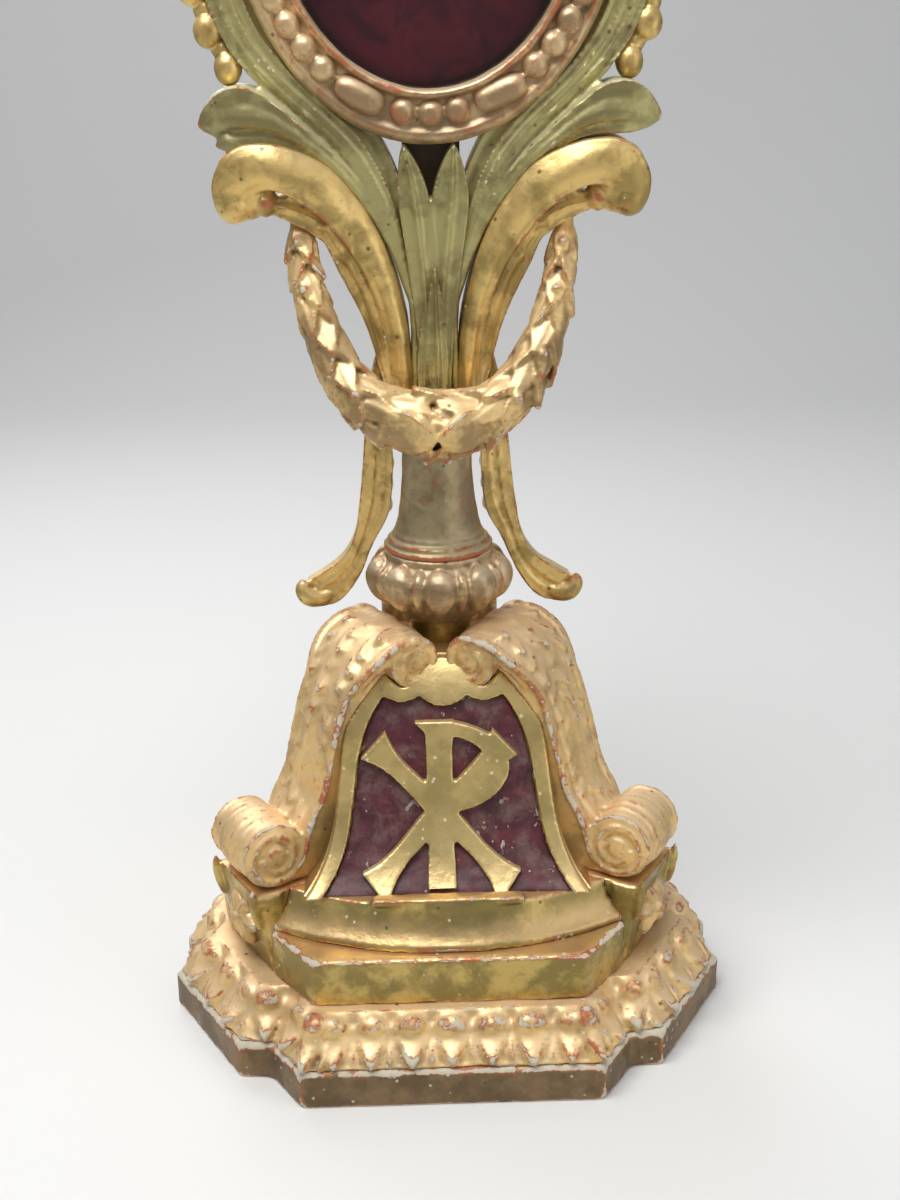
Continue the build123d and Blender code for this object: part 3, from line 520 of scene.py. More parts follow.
# ------------------------------------------------------------------ finishes
class Paint:
    """Short hand for building a finish out of shader nodes."""

    def __init__(self, name):
        self.finish = bpy.data.materials.new(name)
        self.finish.use_nodes = True
        self.tree = self.finish.node_tree
        self.tree.nodes.clear()
        self.out = self.tree.nodes.new("ShaderNodeOutputMaterial")
        self.shader = self.tree.nodes.new("ShaderNodeBsdfPrincipled")
        self.tree.links.new(self.shader.outputs[0], self.out.inputs["Surface"])
        self.place = self.tree.nodes.new("ShaderNodeTexCoord").outputs["Object"]

    def put(self, value, socket):
        """Join a node's output to a socket, or write a plain value on it."""
        if isinstance(value, bpy.types.NodeSocket):
            self.tree.links.new(value, socket)
        else:
            socket.default_value = value

    def set(self, **sockets):
        for label, value in sockets.items():
            self.put(value, self.shader.inputs[label.replace("_", " ")])
        return self

    def stretched(self, x, y, z):
        """Place with each direction scaled, for streaks and grain."""
        node = self.tree.nodes.new("ShaderNodeMapping")
        node.inputs["Scale"].default_value = (x, y, z)
        self.tree.links.new(self.place, node.inputs["Vector"])
        return node.outputs[0]

    def noise(self, size, detail=4.0, rough=0.55, warp=0.0, place=None):
        """Cloudy value from 0 to 1 with lumps of a size in millimetres."""
        node = self.tree.nodes.new("ShaderNodeTexNoise")
        node.inputs["Scale"].default_value = 1 / (size * MM)
        node.inputs["Detail"].default_value = detail
        node.inputs["Roughness"].default_value = rough
        node.inputs["Distortion"].default_value = warp
        self.tree.links.new(place or self.place, node.inputs["Vector"])
        return node.outputs["Fac"]

    def cells(self, size, feature="F1", chance=1.0):
        """Distance to scattered points a size apart, in millimetres."""
        node = self.tree.nodes.new("ShaderNodeTexVoronoi")
        node.feature = feature
        node.inputs["Scale"].default_value = 1 / (size * MM)
        node.inputs["Randomness"].default_value = chance
        self.tree.links.new(self.place, node.inputs["Vector"])
        return node.outputs["Distance"]

    def math(self, kind, a, b=0.0, c=0.0):
        node = self.tree.nodes.new("ShaderNodeMath")
        node.operation = kind
        for value, socket in zip((a, b, c), node.inputs):
            self.put(value, socket)
        return node.outputs[0]

    def ramp(self, value, low, high):
        """0 below low, 1 above high and smooth between; low may be above high."""
        node = self.tree.nodes.new("ShaderNodeMapRange")
        node.interpolation_type = "SMOOTHSTEP"
        self.put(value, node.inputs["Value"])
        flip = low > high
        node.inputs["From Min"].default_value = high if flip else low
        node.inputs["From Max"].default_value = low if flip else high
        node.inputs["To Min"].default_value = 1.0 if flip else 0.0
        node.inputs["To Max"].default_value = 0.0 if flip else 1.0
        return node.outputs["Result"]

    def mix(self, share, a, b, kind="MIX"):
        node = self.tree.nodes.new("ShaderNodeMix")
        node.data_type = "RGBA"
        node.blend_type = kind
        self.put(share, node.inputs["Factor"])
        self.put(a, node.inputs[6])
        self.put(b, node.inputs[7])
        return node.outputs[2]

    def level(self, share, a, b):
        """Number between a and b by a share."""
        node = self.tree.nodes.new("ShaderNodeMix")
        self.put(share, node.inputs["Factor"])
        self.put(a, node.inputs[2])
        self.put(b, node.inputs[3])
        return node.outputs[0]

    def attribute(self, label):
        node = self.tree.nodes.new("ShaderNodeAttribute")
        node.attribute_name = label
        return node.outputs["Fac"]

    def upward(self):
        """How far the surface looks up, from -1 to 1."""
        shape = self.tree.nodes.new("ShaderNodeNewGeometry")
        parts = self.tree.nodes.new("ShaderNodeSeparateXYZ")
        self.tree.links.new(shape.outputs["Normal"], parts.inputs[0])
        return parts.outputs["Z"]

    def bump(self, height, depth, base=None):
        """Small surface relief; depth is in millimetres."""
        node = self.tree.nodes.new("ShaderNodeBump")
        node.inputs["Distance"].default_value = depth * MM
        self.put(height, node.inputs["Height"])
        if base is not None:
            self.put(base, node.inputs["Normal"])
        return node.outputs[0]


FINISHES = {}


def gilding(name, leaf, dull, up_dust_and_light=None, red=0.4, chalk=0.3, grime_and_shade=0.6, specks=0.4,
            gloss=0.40, metal=0.78, tone=0.5):
    """Old gold leaf: worn through to red clay on proud edges, chipped to chalk, darkened in hollows as grime
    and painted shade, and paler where it faces up as dust and painted top light.
    """
    if name in FINISHES:
        return FINISHES[name]
    p = Paint(name)
    fine, wide = p.attribute("fine_relief"), p.attribute("wide_relief")
    cloud = p.noise(22, 5)
    patch = p.noise(6, 6, 0.62, 0.6)
    grit = p.noise(1.6, 5, 0.65)
    shade = p.ramp(p.math("ADD", cloud, p.math("MULTIPLY", patch, 0.5)), 0.78 - 0.3 * tone, 1.02 - 0.3 * tone)
    base = p.mix(shade, leaf, dull)
    # Surfaces that face up are mixed towards the pale third colour: part dust, part painted top light.
    if up_dust_and_light is not None:
        facing = p.ramp(p.math("ADD", p.upward(), p.math("MULTIPLY", patch, 0.35)), 0.30, 1.12)
        base = p.mix(p.math("MULTIPLY", facing, 0.85), base, up_dust_and_light)
    worn = p.math("ADD", p.math("MULTIPLY", fine, 2.6), p.math("MULTIPLY", wide, 0.16))
    rub = p.ramp(p.math("ADD", worn, p.math("ADD", patch, p.math("MULTIPLY", grit, 0.5))),
                 1.26 - 0.62 * red, 1.56 - 0.62 * red)
    base = p.mix(rub, base, colour("bole"))
    bare = p.ramp(p.math("ADD", p.math("MULTIPLY", worn, 0.9),
                         p.math("ADD", p.noise(9, 7, 0.7, 0.8), p.math("MULTIPLY", grit, 0.42))),
                  1.33 - 0.5 * chalk, 1.40 - 0.5 * chalk)
    speck = p.math("MULTIPLY", p.ramp(p.cells(4.4), 0.17, 0.10),
                   p.ramp(p.noise(13, 3), 0.74 - 0.4 * specks, 0.80 - 0.4 * specks))
    bare = p.math("MAXIMUM", bare, speck)
    white = p.mix(p.noise(2.2, 4), colour("chalk"), tuple(0.62 * c for c in colour("chalk")[:3]) + (1.0,))
    base = p.mix(bare, base, white)
    # Hollows darken towards the grime colour: part real grime, part painted shade.
    deep = p.math("ADD", p.math("MULTIPLY", fine, -2.8), p.math("MULTIPLY", wide, -0.42))
    hollow_grime_and_shade = p.ramp(p.math("ADD", deep, p.math("MULTIPLY", p.math("SUBTRACT", patch, 0.5), 0.9)),
                   0.42 - 0.25 * grime_and_shade, 1.35 - 0.25 * grime_and_shade)
    base = p.mix(p.math("MULTIPLY", hollow_grime_and_shade, 0.55 + 0.4 * grime_and_shade), base, colour("grime_and_shade"))
    spot = p.math("MULTIPLY", p.ramp(p.cells(7.3), 0.13, 0.07), p.ramp(p.noise(17, 2), 0.50, 0.56))
    base = p.mix(p.math("MULTIPLY", spot, 0.7), base, colour("grime_and_shade"))
    lost = p.math("MAXIMUM", bare, hollow_grime_and_shade)
    p.set(Base_Color=base,
          Metallic=p.level(p.math("MAXIMUM", lost, p.math("MULTIPLY", rub, 0.7)), metal, 0.0),
          Roughness=p.level(lost, p.math("ADD", gloss - 0.12, p.math("MULTIPLY", patch, 0.26)), 0.85))
    p.set(Normal=p.bump(p.math("SUBTRACT", p.math("ADD", p.math("MULTIPLY", patch, 0.55),
                                                  p.math("MULTIPLY", grit, 0.35)),
                               p.math("MULTIPLY", bare, 0.5)), 0.30))
    FINISHES[name] = p.finish
    return p.finish


# Each gilding below passes as third colour the pale tone of up-facing surfaces: part dust, part painted top
# light.
def base_gold():
    """Gold of the flat boards and sills, olive where it is dull, and pale rosy where it faces up as dust and
    painted top light.
    """
    return gilding("base gilding", colour("gold"), colour("old_gold"), (0.86, 0.58, 0.29, 1.0),
                   red=0.30, chalk=0.25, grime_and_shade=0.50, specks=0.55, gloss=0.34, tone=0.62)


def carved_gold():
    """Worn gold of the leafy carving on the base."""
    return gilding("worn gilding", (0.80, 0.55, 0.23, 1.0), (0.50, 0.34, 0.14, 1.0), (0.95, 0.69, 0.40, 1.0),
                   red=0.55, chalk=0.60, grime_and_shade=0.70, specks=0.90, gloss=0.46, metal=0.55, tone=0.45)


def bright_gold():
    """Burnished gold of the bell's bands and the emblem."""
    return gilding("burnished gold", (0.70, 0.52, 0.20, 1.0), (0.44, 0.33, 0.115, 1.0),
                   (0.88, 0.66, 0.33, 1.0),
                   red=0.16, chalk=0.20, grime_and_shade=0.50, specks=0.62, gloss=0.36, metal=0.72, tone=0.45)


def leaf_gold():
    """Warm gold of the upper carving."""
    return gilding("leaf gold", (0.76, 0.53, 0.19, 1.0), (0.38, 0.265, 0.085, 1.0), (0.95, 0.73, 0.37, 1.0),
                   red=0.40, chalk=0.24, grime_and_shade=0.85, specks=0.45, gloss=0.38, metal=0.70, tone=0.50)


def garland_gold():
    """Brown, rubbed gold of the garland."""
    return gilding("garland gold", (0.74, 0.52, 0.22, 1.0), (0.36, 0.24, 0.105, 1.0), (0.93, 0.70, 0.40, 1.0),
                   red=0.44, chalk=0.36, grime_and_shade=0.95, specks=0.40, gloss=0.44, metal=0.60, tone=0.60)


def green_gold():
    """Greenish gold of the long leaves, pale where they face upwards as dust and painted top light."""
    return gilding("green gilding", colour("green_gold"), (0.25, 0.21, 0.085, 1.0), (0.88, 0.85, 0.50, 1.0),
                   red=0.10, chalk=0.16, grime_and_shade=0.85, specks=0.34, gloss=0.42, metal=0.58, tone=0.50)


def column_gold():
    """Green gold on the column, rubbed through to the red."""
    return gilding("column gilding", (0.42, 0.34, 0.18, 1.0), (0.27, 0.19, 0.10, 1.0),
                   (0.74, 0.62, 0.38, 1.0),
                   red=0.70, chalk=0.22, grime_and_shade=0.60, specks=0.40, gloss=0.44, metal=0.52, tone=0.55)


def knob_gold():
    """Brownish gold of the lobed knob."""
    return gilding("knob gilding", (0.58, 0.41, 0.21, 1.0), (0.27, 0.18, 0.085, 1.0), (0.95, 0.75, 0.50, 1.0),
                   red=0.40, chalk=0.34, grime_and_shade=0.95, specks=0.35, gloss=0.40, metal=0.60, tone=0.60)


def frame_gold():
    """Pinkish brown gold of the oval frame and its beads."""
    return gilding("frame gilding", (0.66, 0.47, 0.25, 1.0), (0.36, 0.24, 0.125, 1.0),
                   (0.92, 0.71, 0.48, 1.0),
                   red=0.40, chalk=0.20, grime_and_shade=0.85, specks=0.30, gloss=0.42, metal=0.60, tone=0.52)


def plinth_gold_darkened_as_shade():
    """Thin gold over wood on the edge of the foot, its leaf and dull colours darkened to brown as painted
    shade on the upright edge.
    """
    # Dark brown leaf and dull colours paint the shade on the foot's upright edge.
    return gilding("plinth gold darkened as shade", (0.24, 0.155, 0.075, 1.0), (0.14, 0.090, 0.042, 1.0),
                   (0.62, 0.42, 0.21, 1.0),
                   red=0.30, chalk=0.30, grime_and_shade=0.5, specks=0.80, gloss=0.46, metal=0.45, tone=0.55)


def sunk_red():
    """Dark red paint of the panels, flaked to a pale ground."""
    if "sunk red" in FINISHES:
        return FINISHES["sunk red"]
    p = Paint("sunk red")
    patch, grit = p.noise(7, 6, 0.6, 0.5), p.noise(1.3, 4, 0.6)
    base = p.mix(p.ramp(patch, 0.35, 0.72), colour("wine"), (0.115, 0.018, 0.028, 1.0))
    dusty = p.ramp(p.math("ADD", p.noise(11, 5, 0.6, 0.4), p.math("MULTIPLY", grit, 0.25)), 0.55, 0.82)
    base = p.mix(p.math("MULTIPLY", dusty, 0.5), base, (0.22, 0.15, 0.13, 1.0))
    tall = p.stretched(1.0, 1.0, 0.45)
    flake = p.ramp(p.math("ADD", p.noise(5.2, 6, 0.62, 0.7, tall), p.math("MULTIPLY", grit, 0.22)), 0.745,
                   0.775)
    low = p.math("MULTIPLY", p.ramp(p.noise(20, 3), 0.40, 0.60), flake)
    speck = p.math("MULTIPLY", p.ramp(p.cells(4.1), 0.15, 0.09), p.ramp(p.noise(9, 2), 0.48, 0.55))
    bare = p.math("MAXIMUM", low, speck)
    base = p.mix(bare, base, p.mix(grit, (0.52, 0.46, 0.37, 1.0), (0.34, 0.29, 0.24, 1.0)))
    p.set(Base_Color=base, Roughness=p.level(bare, 0.46, 0.9))
    p.set(Normal=p.bump(p.math("ADD", p.math("MULTIPLY", patch, 0.5), p.math("MULTIPLY", bare, 0.8)), 0.45))
    FINISHES["sunk red"] = p.finish
    return p.finish


def bare_wood_and_shade():
    """Brown softwood seen where no gold was laid, its colour darkened so that the spine paints the shade of
    the hollow behind the lance tips.
    """
    if "bare wood and painted shade" in FINISHES:
        return FINISHES["bare wood and painted shade"]
    p = Paint("bare wood and painted shade")
    streak = p.noise(2.4, 5, 0.6, 0.3, p.stretched(1.0, 1.0, 0.08))
    base = p.mix(p.ramp(streak, 0.3, 0.75), colour("wood"),
                 tuple(0.5 * c for c in colour("wood")[:3]) + (1.0,))
    p.set(Base_Color=base, Roughness=0.7)
    p.set(Normal=p.bump(streak, 0.12))
    FINISHES["bare wood and painted shade"] = p.finish
    return p.finish


def back_paint():
    """Dull yellow-brown paint on the back of the relic box."""
    if "back paint" in FINISHES:
        return FINISHES["back paint"]
    p = Paint("back paint")
    streak = p.noise(3.2, 5, 0.6, 0.4, p.stretched(1.0, 1.0, 0.12))
    worn = p.ramp(p.math("ADD", p.noise(14, 6, 0.65, 0.5), p.math("MULTIPLY", streak, 0.3)), 0.70, 0.80)
    base = p.mix(p.ramp(streak, 0.3, 0.8), (0.25, 0.155, 0.06, 1.0), (0.16, 0.095, 0.04, 1.0))
    base = p.mix(worn, base, colour("wood"))
    p.set(Base_Color=base, Roughness=p.level(worn, 0.55, 0.8))
    p.set(Normal=p.bump(streak, 0.10))
    FINISHES["back paint"] = p.finish
    return p.finish


def old_metal(name, clean, stain, gloss):
    """Aged brass or steel with darker stains."""
    if name in FINISHES:
        return FINISHES[name]
    p = Paint(name)
    stains = p.ramp(p.noise(2.6, 6, 0.65, 0.5), 0.42, 0.70)
    p.set(Base_Color=p.mix(stains, clean, stain), Metallic=p.level(stains, 1.0, 0.75),
          Roughness=p.level(stains, gloss, gloss + 0.28))
    p.set(Normal=p.bump(p.noise(0.7, 3), 0.03))
    FINISHES[name] = p.finish
    return p.finish


def brass():
    return old_metal("aged brass", (0.62, 0.42, 0.14, 1.0), (0.20, 0.125, 0.05, 1.0), 0.30)


def steel():
    return old_metal("old steel", (0.36, 0.35, 0.33, 1.0), (0.16, 0.10, 0.06, 1.0), 0.32)


def clear_glass():
    """Old window glass with a slight wave and a film of dust."""
    if "clear glass" in FINISHES:
        return FINISHES["clear glass"]
    p = Paint("clear glass")
    dust = p.noise(5, 6, 0.65)
    p.set(Base_Color=(1.0, 1.0, 1.0, 1.0), Roughness=p.level(p.ramp(dust, 0.45, 0.8), 0.0, 0.05))
    p.shader.inputs["Transmission Weight"].default_value = 1.0
    p.shader.inputs["IOR"].default_value = 1.32
    p.set(Normal=p.bump(p.noise(24, 2), 0.05))
    FINISHES["clear glass"] = p.finish
    return p.finish


def crimson_velvet():
    """Crimson cotton velvet with a short pile, crushed in places."""
    if "crimson velvet" in FINISHES:
        return FINISHES["crimson velvet"]
    p = Paint("crimson velvet")
    crush = p.noise(12, 5, 0.6, 0.8)
    pile = p.noise(0.5, 3, 0.6, 0.0, p.stretched(1.0, 1.0, 0.6))
    base = p.mix(p.ramp(crush, 0.34, 0.70), colour("velvet"),
                 tuple(2.1 * c for c in colour("velvet")[:3]) + (1.0,))
    base = p.mix(p.math("MULTIPLY", pile, 0.30), base, (0.012, 0.001, 0.003, 1.0))
    p.set(Base_Color=base, Roughness=0.92)
    p.shader.inputs["Sheen Weight"].default_value = 0.12
    p.shader.inputs["Sheen Roughness"].default_value = 0.4
    p.shader.inputs["Sheen Tint"].default_value = (0.55, 0.05, 0.10, 1.0)
    p.set(Normal=p.bump(p.math("ADD", p.math("MULTIPLY", crush, 1.0), p.math("MULTIPLY", pile, 0.35)), 0.35))
    FINISHES["crimson velvet"] = p.finish
    return p.finish


# ------------------------------------------------------------------ base: boards and moulding
def plinth_outline():
    """Plan corners of the foot, in order round the axis."""
    corners = {(round(v.co.x / MM, 2), round(v.co.y / MM, 2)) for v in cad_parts["plinth"].data.vertices}
    return sorted(corners, key=lambda p: math.atan2(p[1], p[0]))


def inset(outline, distance):
    """Plan outline moved inwards by a distance, with mitred corners."""
    moved = []
    for i, here in enumerate(outline):
        here, before, after = (Vector(p) for p in (here, outline[i - 1], outline[(i + 1) % len(outline)]))
        d1, d2 = (here - before).normalized(), (after - here).normalized()
        n1, n2 = Vector((-d1.y, d1.x)), Vector((-d2.y, d2.x))
        moved.append(here + (n1 + n2) * (distance / (1 + n1.dot(n2))))
    return moved


def ring_board(outline, section):
    """Hoop of a closed section, given as (inset, height) pairs, that follows a plan outline."""
    loops = [[(p.x, p.y, z) for p in inset(outline, d)] for d, z in section]
    count, points, faces = len(outline), [], []
    for loop in loops:
        points += loop
    for j in range(len(loops)):
        a, b = j * count, ((j + 1) % len(loops)) * count
        for i in range(count):
            k = (i + 1) % count
            faces.append((a + i, a + k, b + k, b + i))
    return points, faces


def moulding_leaf():
    """Round lobe above a pointed, ridged leaf; +Z is outwards and +Y up the slope."""
    leaf = Block()
    leaf.add(*ball((0, 5.4, 1.0), (6.1, 4.0, 3.7)))
    leaf.add(*ball((0, 2.2, 0.2), (5.4, 3.6, 2.0)))
    body = [(0, 3.5, 0.4), (0, 0.5, 0.7), (0, -3.0, 1.2), (0, -6.5, 2.0), (0, -9.6, 2.3)]
    width = lambda t: 0.5 + 6.0 * (1 - t) ** 0.75 * (0.75 + 0.5 * t)
    leaf.add(*ribbon(smooth_line(body, 9), width,
                     lambda t, u: 1.0 - 0.9 * abs(u) + 0.5 * u * u, lambda t: 3.0, facing=(0, 0, 1)))
    leaf.add(*ribbon(smooth_line([(7.3, 2.0, -0.6), (7.3, -3.0, 0.2), (7.3, -7.6, 0.9)], 6),
                     lambda t: 1.9 - 1.5 * t, lambda t, u: 1.0 - 0.8 * abs(u), lambda t: 2.4,
                     facing=(0, 0, 1)))
    return leaf


def moulding_spots():
    """Place, turn and size of each leaf round the base moulding."""
    outline = plinth_outline()
    middle = inset(outline, 7.6)
    pitch = sizes().moulding_pitch
    height = PLINTH_TOP + 7.4
    for i, start in enumerate(middle):
        end = middle[(i + 1) % len(middle)]
        along = end - start
        number = max(1, round(along.length / pitch))
        stretch = min(1.12, along.length / number / pitch)
        out = Vector((along.y, -along.x)).normalized()
        slope = Vector((out.x, out.y, 0.95)).normalized()
        uphill = Vector((-out.x, -out.y, 1.05))
        for j in range(number):
            at = start + along * ((j + 0.5) / number)
            yield (at.x, at.y, height), axes(slope, uphill), (stretch, 1.0, 0.9 if stretch < 0.8 else 1.0)
        before = start - middle[i - 1]
        if min(along.length, before.length) > 16:
            out = (Vector((along.y, -along.x)).normalized() + Vector((before.y, -before.x)).normalized())
            slope = Vector((out.x, out.y, 1.6)).normalized()
            yield (start.x, start.y, height + 0.4), axes(slope, Vector((-out.x, -out.y, 1.4))), (0.80,
                1.12, 1.15)


def build_boards():
    """Foot board, leaf moulding, step board and the three sills."""
    carve("plinth_board", frame_shell("plinth"), plinth_gold_darkened_as_shade(), ["plinth"],
          cut=1.5, ease=1, dents=0.16, chips=0.9)
    rise = MOULDING_TOP - PLINTH_TOP
    top = MOULDING_TOP
    section = [(0.6, PLINTH_TOP - 0.2), (2.6, PLINTH_TOP + 1.6), (5.2, PLINTH_TOP + 0.30 * rise),
               (7.8, PLINTH_TOP + 0.50 * rise), (9.8, PLINTH_TOP + 0.72 * rise), (12.0, top - 3.4),
               (12.6, top - 2.9), (12.9, top), (28.0, top), (28.0, PLINTH_TOP - 0.2)]
    moulding = Block().add(*ring_board(plinth_outline(), section))
    moulding.add_mesh(repeat(moulding_leaf(), moulding_spots(), carved_gold(),
                             uneven_turn=0.07, uneven_size=0.06, seed=4))
    carve("leaf_moulding_carved", moulding, carved_gold(), ["leaf_moulding"],
          cut=1.0, ease=1, dents=0.20, chips=0.8)
    carve("step_board_gilded", frame_shell("step_board"), base_gold(), ["step_board"],
          cut=1.3, ease=1, dents=0.10, chips=0.6)
    for face in FACES:
        carve(f"{face}_sill_gilded", frame_shell(f"{face}_sill"), base_gold(),
              [f"{face}_sill"], cut=1.0, ease=1, dents=0.14, chips=0.5)


# ------------------------------------------------------------------ base: corners
PEDESTAL_OUT, PEDESTAL_IN, PEDESTAL_HALF = 89.0, 55.0, 16.5
PEDESTAL_TAPER = 4.6


def at_corner(block, angle):
    """Turn a block made along +X to its corner."""
    return block.turned(angle)


def build_pedestals():
    """Tapering corner blocks with a raised edge on each cheek."""
    for side, angle in CORNERS.items():
        block = Block()
        low, high = MOULDING_TOP, SILL_TOP
        foot = PEDESTAL_OUT - PEDESTAL_TAPER
        ring = lambda z, out, half: [(PEDESTAL_IN, -half, z), (out, -half, z), (out, half, z),
                                     (PEDESTAL_IN, half, z)]
        block.add(*loft([ring(low, foot, PEDESTAL_HALF), ring(high - 3, PEDESTAL_OUT, PEDESTAL_HALF),
                         ring(high, PEDESTAL_OUT + 0.6, PEDESTAL_HALF)]))
        for k in (-1, 1):
            y = k * PEDESTAL_HALF
            strap = [(foot - 3.5, y, low + 1), (PEDESTAL_OUT - 5.2, y, high - 1)]
            block.add(*ribbon(smooth_line(strap, 8), lambda t: 1.4 + 3.0 * t, lambda t, u: 1.1 - 0.3 * u ** 4,
                              lambda t: 2.0, facing=(0, k, 0)))
            horn = [(PEDESTAL_OUT - 1.0, y - k * 1.2, high - 14), (PEDESTAL_OUT + 1.0, y - k * 0.8, high - 4),
                    (PEDESTAL_OUT + 1.6, y - k * 0.4, high + 2.5)]
            block.add(*tube(smooth_line(horn, 8), [1.2, 1.6, 1.9, 2.0, 2.0, 1.8, 1.4, 0.7], 10,
                            facing=(0, k, 0)))
        carve(f"{side}_pedestal_gilded", at_corner(block, angle), base_gold(),
              [f"{side}_pedestal"], cut=0.7, ease=2, dents=0.14, chips=0.6)


def build_flowers():
    """Clustered flower on the outer face of each pedestal."""
    petal = Block().add(*ball((0, 0, 0), (3.4, 4.6, 2.7)))
    petal.add(*ribbon(smooth_line([(0, -3.5, 1.6), (0, 0.5, 2.6), (0, 4.4, 1.4)], 6), lambda t: 1.2,
                      lambda t, u: 0.9 - 0.8 * abs(u), lambda t: 1.5, facing=(0, 0, 1)))
    number = sizes().petals
    for side, angle in CORNERS.items():
        z = MOULDING_TOP + 17.0
        out = PEDESTAL_OUT - PEDESTAL_TAPER * 0.5 + 0.4
        spots = []
        for ring, reach, size, shift in ((number, 6.6, 1.0, 0.0), (number - 1, 3.6, 0.72, 0.4)):
            for i in range(ring):
                a = 2 * math.pi * (i + shift) / ring
                away = Vector((0.0, math.cos(a), math.sin(a)))
                lean = Vector((1.0, 0, 0)) + away * 0.45
                at = Vector((out + (1.6 if size < 1 else 0.2), 0, z)) + away * reach
                spots.append((tuple(at), axes(lean, away), (size, size, size * 1.1)))
        flower = Block().add_mesh(repeat(petal, spots, carved_gold(), uneven_turn=0.22, uneven_size=0.14,
                                         seed=9))
        flower.add(*ball((out + 3.4, 0, z), (2.6, 2.7, 2.7)))
        flower.add(*ball((out - 0.6, 0, z), (2.0, 7.6, 8.4)))
        carve(f"{side}_flower_carved", at_corner(flower, angle), carved_gold(),
              [f"{side}_flower"], cut=0.5, ease=2, dents=0.18, chips=0.8)


# ------------------------------------------------------------------ base: scroll brackets
SCROLL_HALF = 14.0
HEAD_VOLUTE = (23.0, SILL_TOP + 77.5, 10.0)
HEAD_HALF = 20.0
FOOT_VOLUTE = (80.0, SILL_TOP + 13.0, 12.5)
SCROLL_BACK = 12.0


def scroll_edge():
    """Outer edge of a bracket (distance out, height) from the head volute to the foot volute."""
    foot = SILL_TOP
    rise = HEAD_VOLUTE[1] + HEAD_VOLUTE[2] - foot
    return [(HEAD_VOLUTE[0], foot + rise), (31.5, foot + 0.990 * rise), (41.0, foot + 0.925 * rise),
            (48.5, foot + 0.815 * rise), (54.0, foot + 0.665 * rise), (58.0, foot + 0.500 * rise),
            (62.0, foot + 0.350 * rise), (FOOT_VOLUTE[0] - 9.5, FOOT_VOLUTE[1] + 6.0)]


def spiral(volute, start, turns, first, last, steps=46):
    """Spiral line in (out, height) that winds in towards a volute's eye."""
    s, z, r = volute
    line = []
    for i in range(steps + 1):
        t = i / steps
        a = math.radians(start + 360 * turns * t)
        radius = r * (first + (last - first) * t ** 0.85)
        line.append((s + radius * math.cos(a), z + radius * math.sin(a)))
    return line


def half_width(height):
    """Half width of a bracket: wide at the head volute and narrower below its shoulder."""
    share = min(1.0, max(0.0, (height - SILL_TOP - 66.0) / 16.0))
    return SCROLL_HALF + (HEAD_HALF - SCROLL_HALF) * share * share * (3 - 2 * share)


def cheek_line():
    """Raised rim on a cheek: from the head's eye, down the bell side and into the foot's eye."""
    head = spiral(HEAD_VOLUTE, 90, 1.25, 0.90, 0.40)[::-1]
    edge = smooth_line([(s, z) for s, z in scroll_edge()], 60)
    run = directions(edge)
    edge = edge - np.stack([-run[:, 1], run[:, 0]], 1) * 1.6
    edge = [p for p in edge if p[0] > HEAD_VOLUTE[0] + 1 and p[1] > FOOT_VOLUTE[1] + 12]
    foot = spiral(FOOT_VOLUTE, 196, 1.45, 0.90, 0.42)
    middle = smooth_line([edge[-1], (FOOT_VOLUTE[0] - 13.6, FOOT_VOLUTE[1] + 6.5), foot[0]], 8)[1:-1]
    body = [(*p, half_width(p[1])) for p in [*edge, *middle]]
    return [(*p, HEAD_HALF) for p in head] + body + [(*p, SCROLL_HALF) for p in foot]


def scroll_leaf():
    """Pointed scale leaf with a ridge; +Y is its root end and +Z stands off the bracket."""
    leaf = Block()
    line = smooth_line([(0, 6.5, -0.6), (0, 2.5, 0.5), (0, -2.5, 1.3), (0, -7.2, 2.2)], 9)
    leaf.add(*ribbon(line, lambda t: 0.5 + 4.7 * math.sin(math.pi * (0.22 + 0.76 * t)) ** 0.8,
                     lambda t, u: 1.3 - 1.5 * abs(u) + 0.9 * u * u, lambda t: 2.4, facing=(0, 0, 1)))
    return leaf


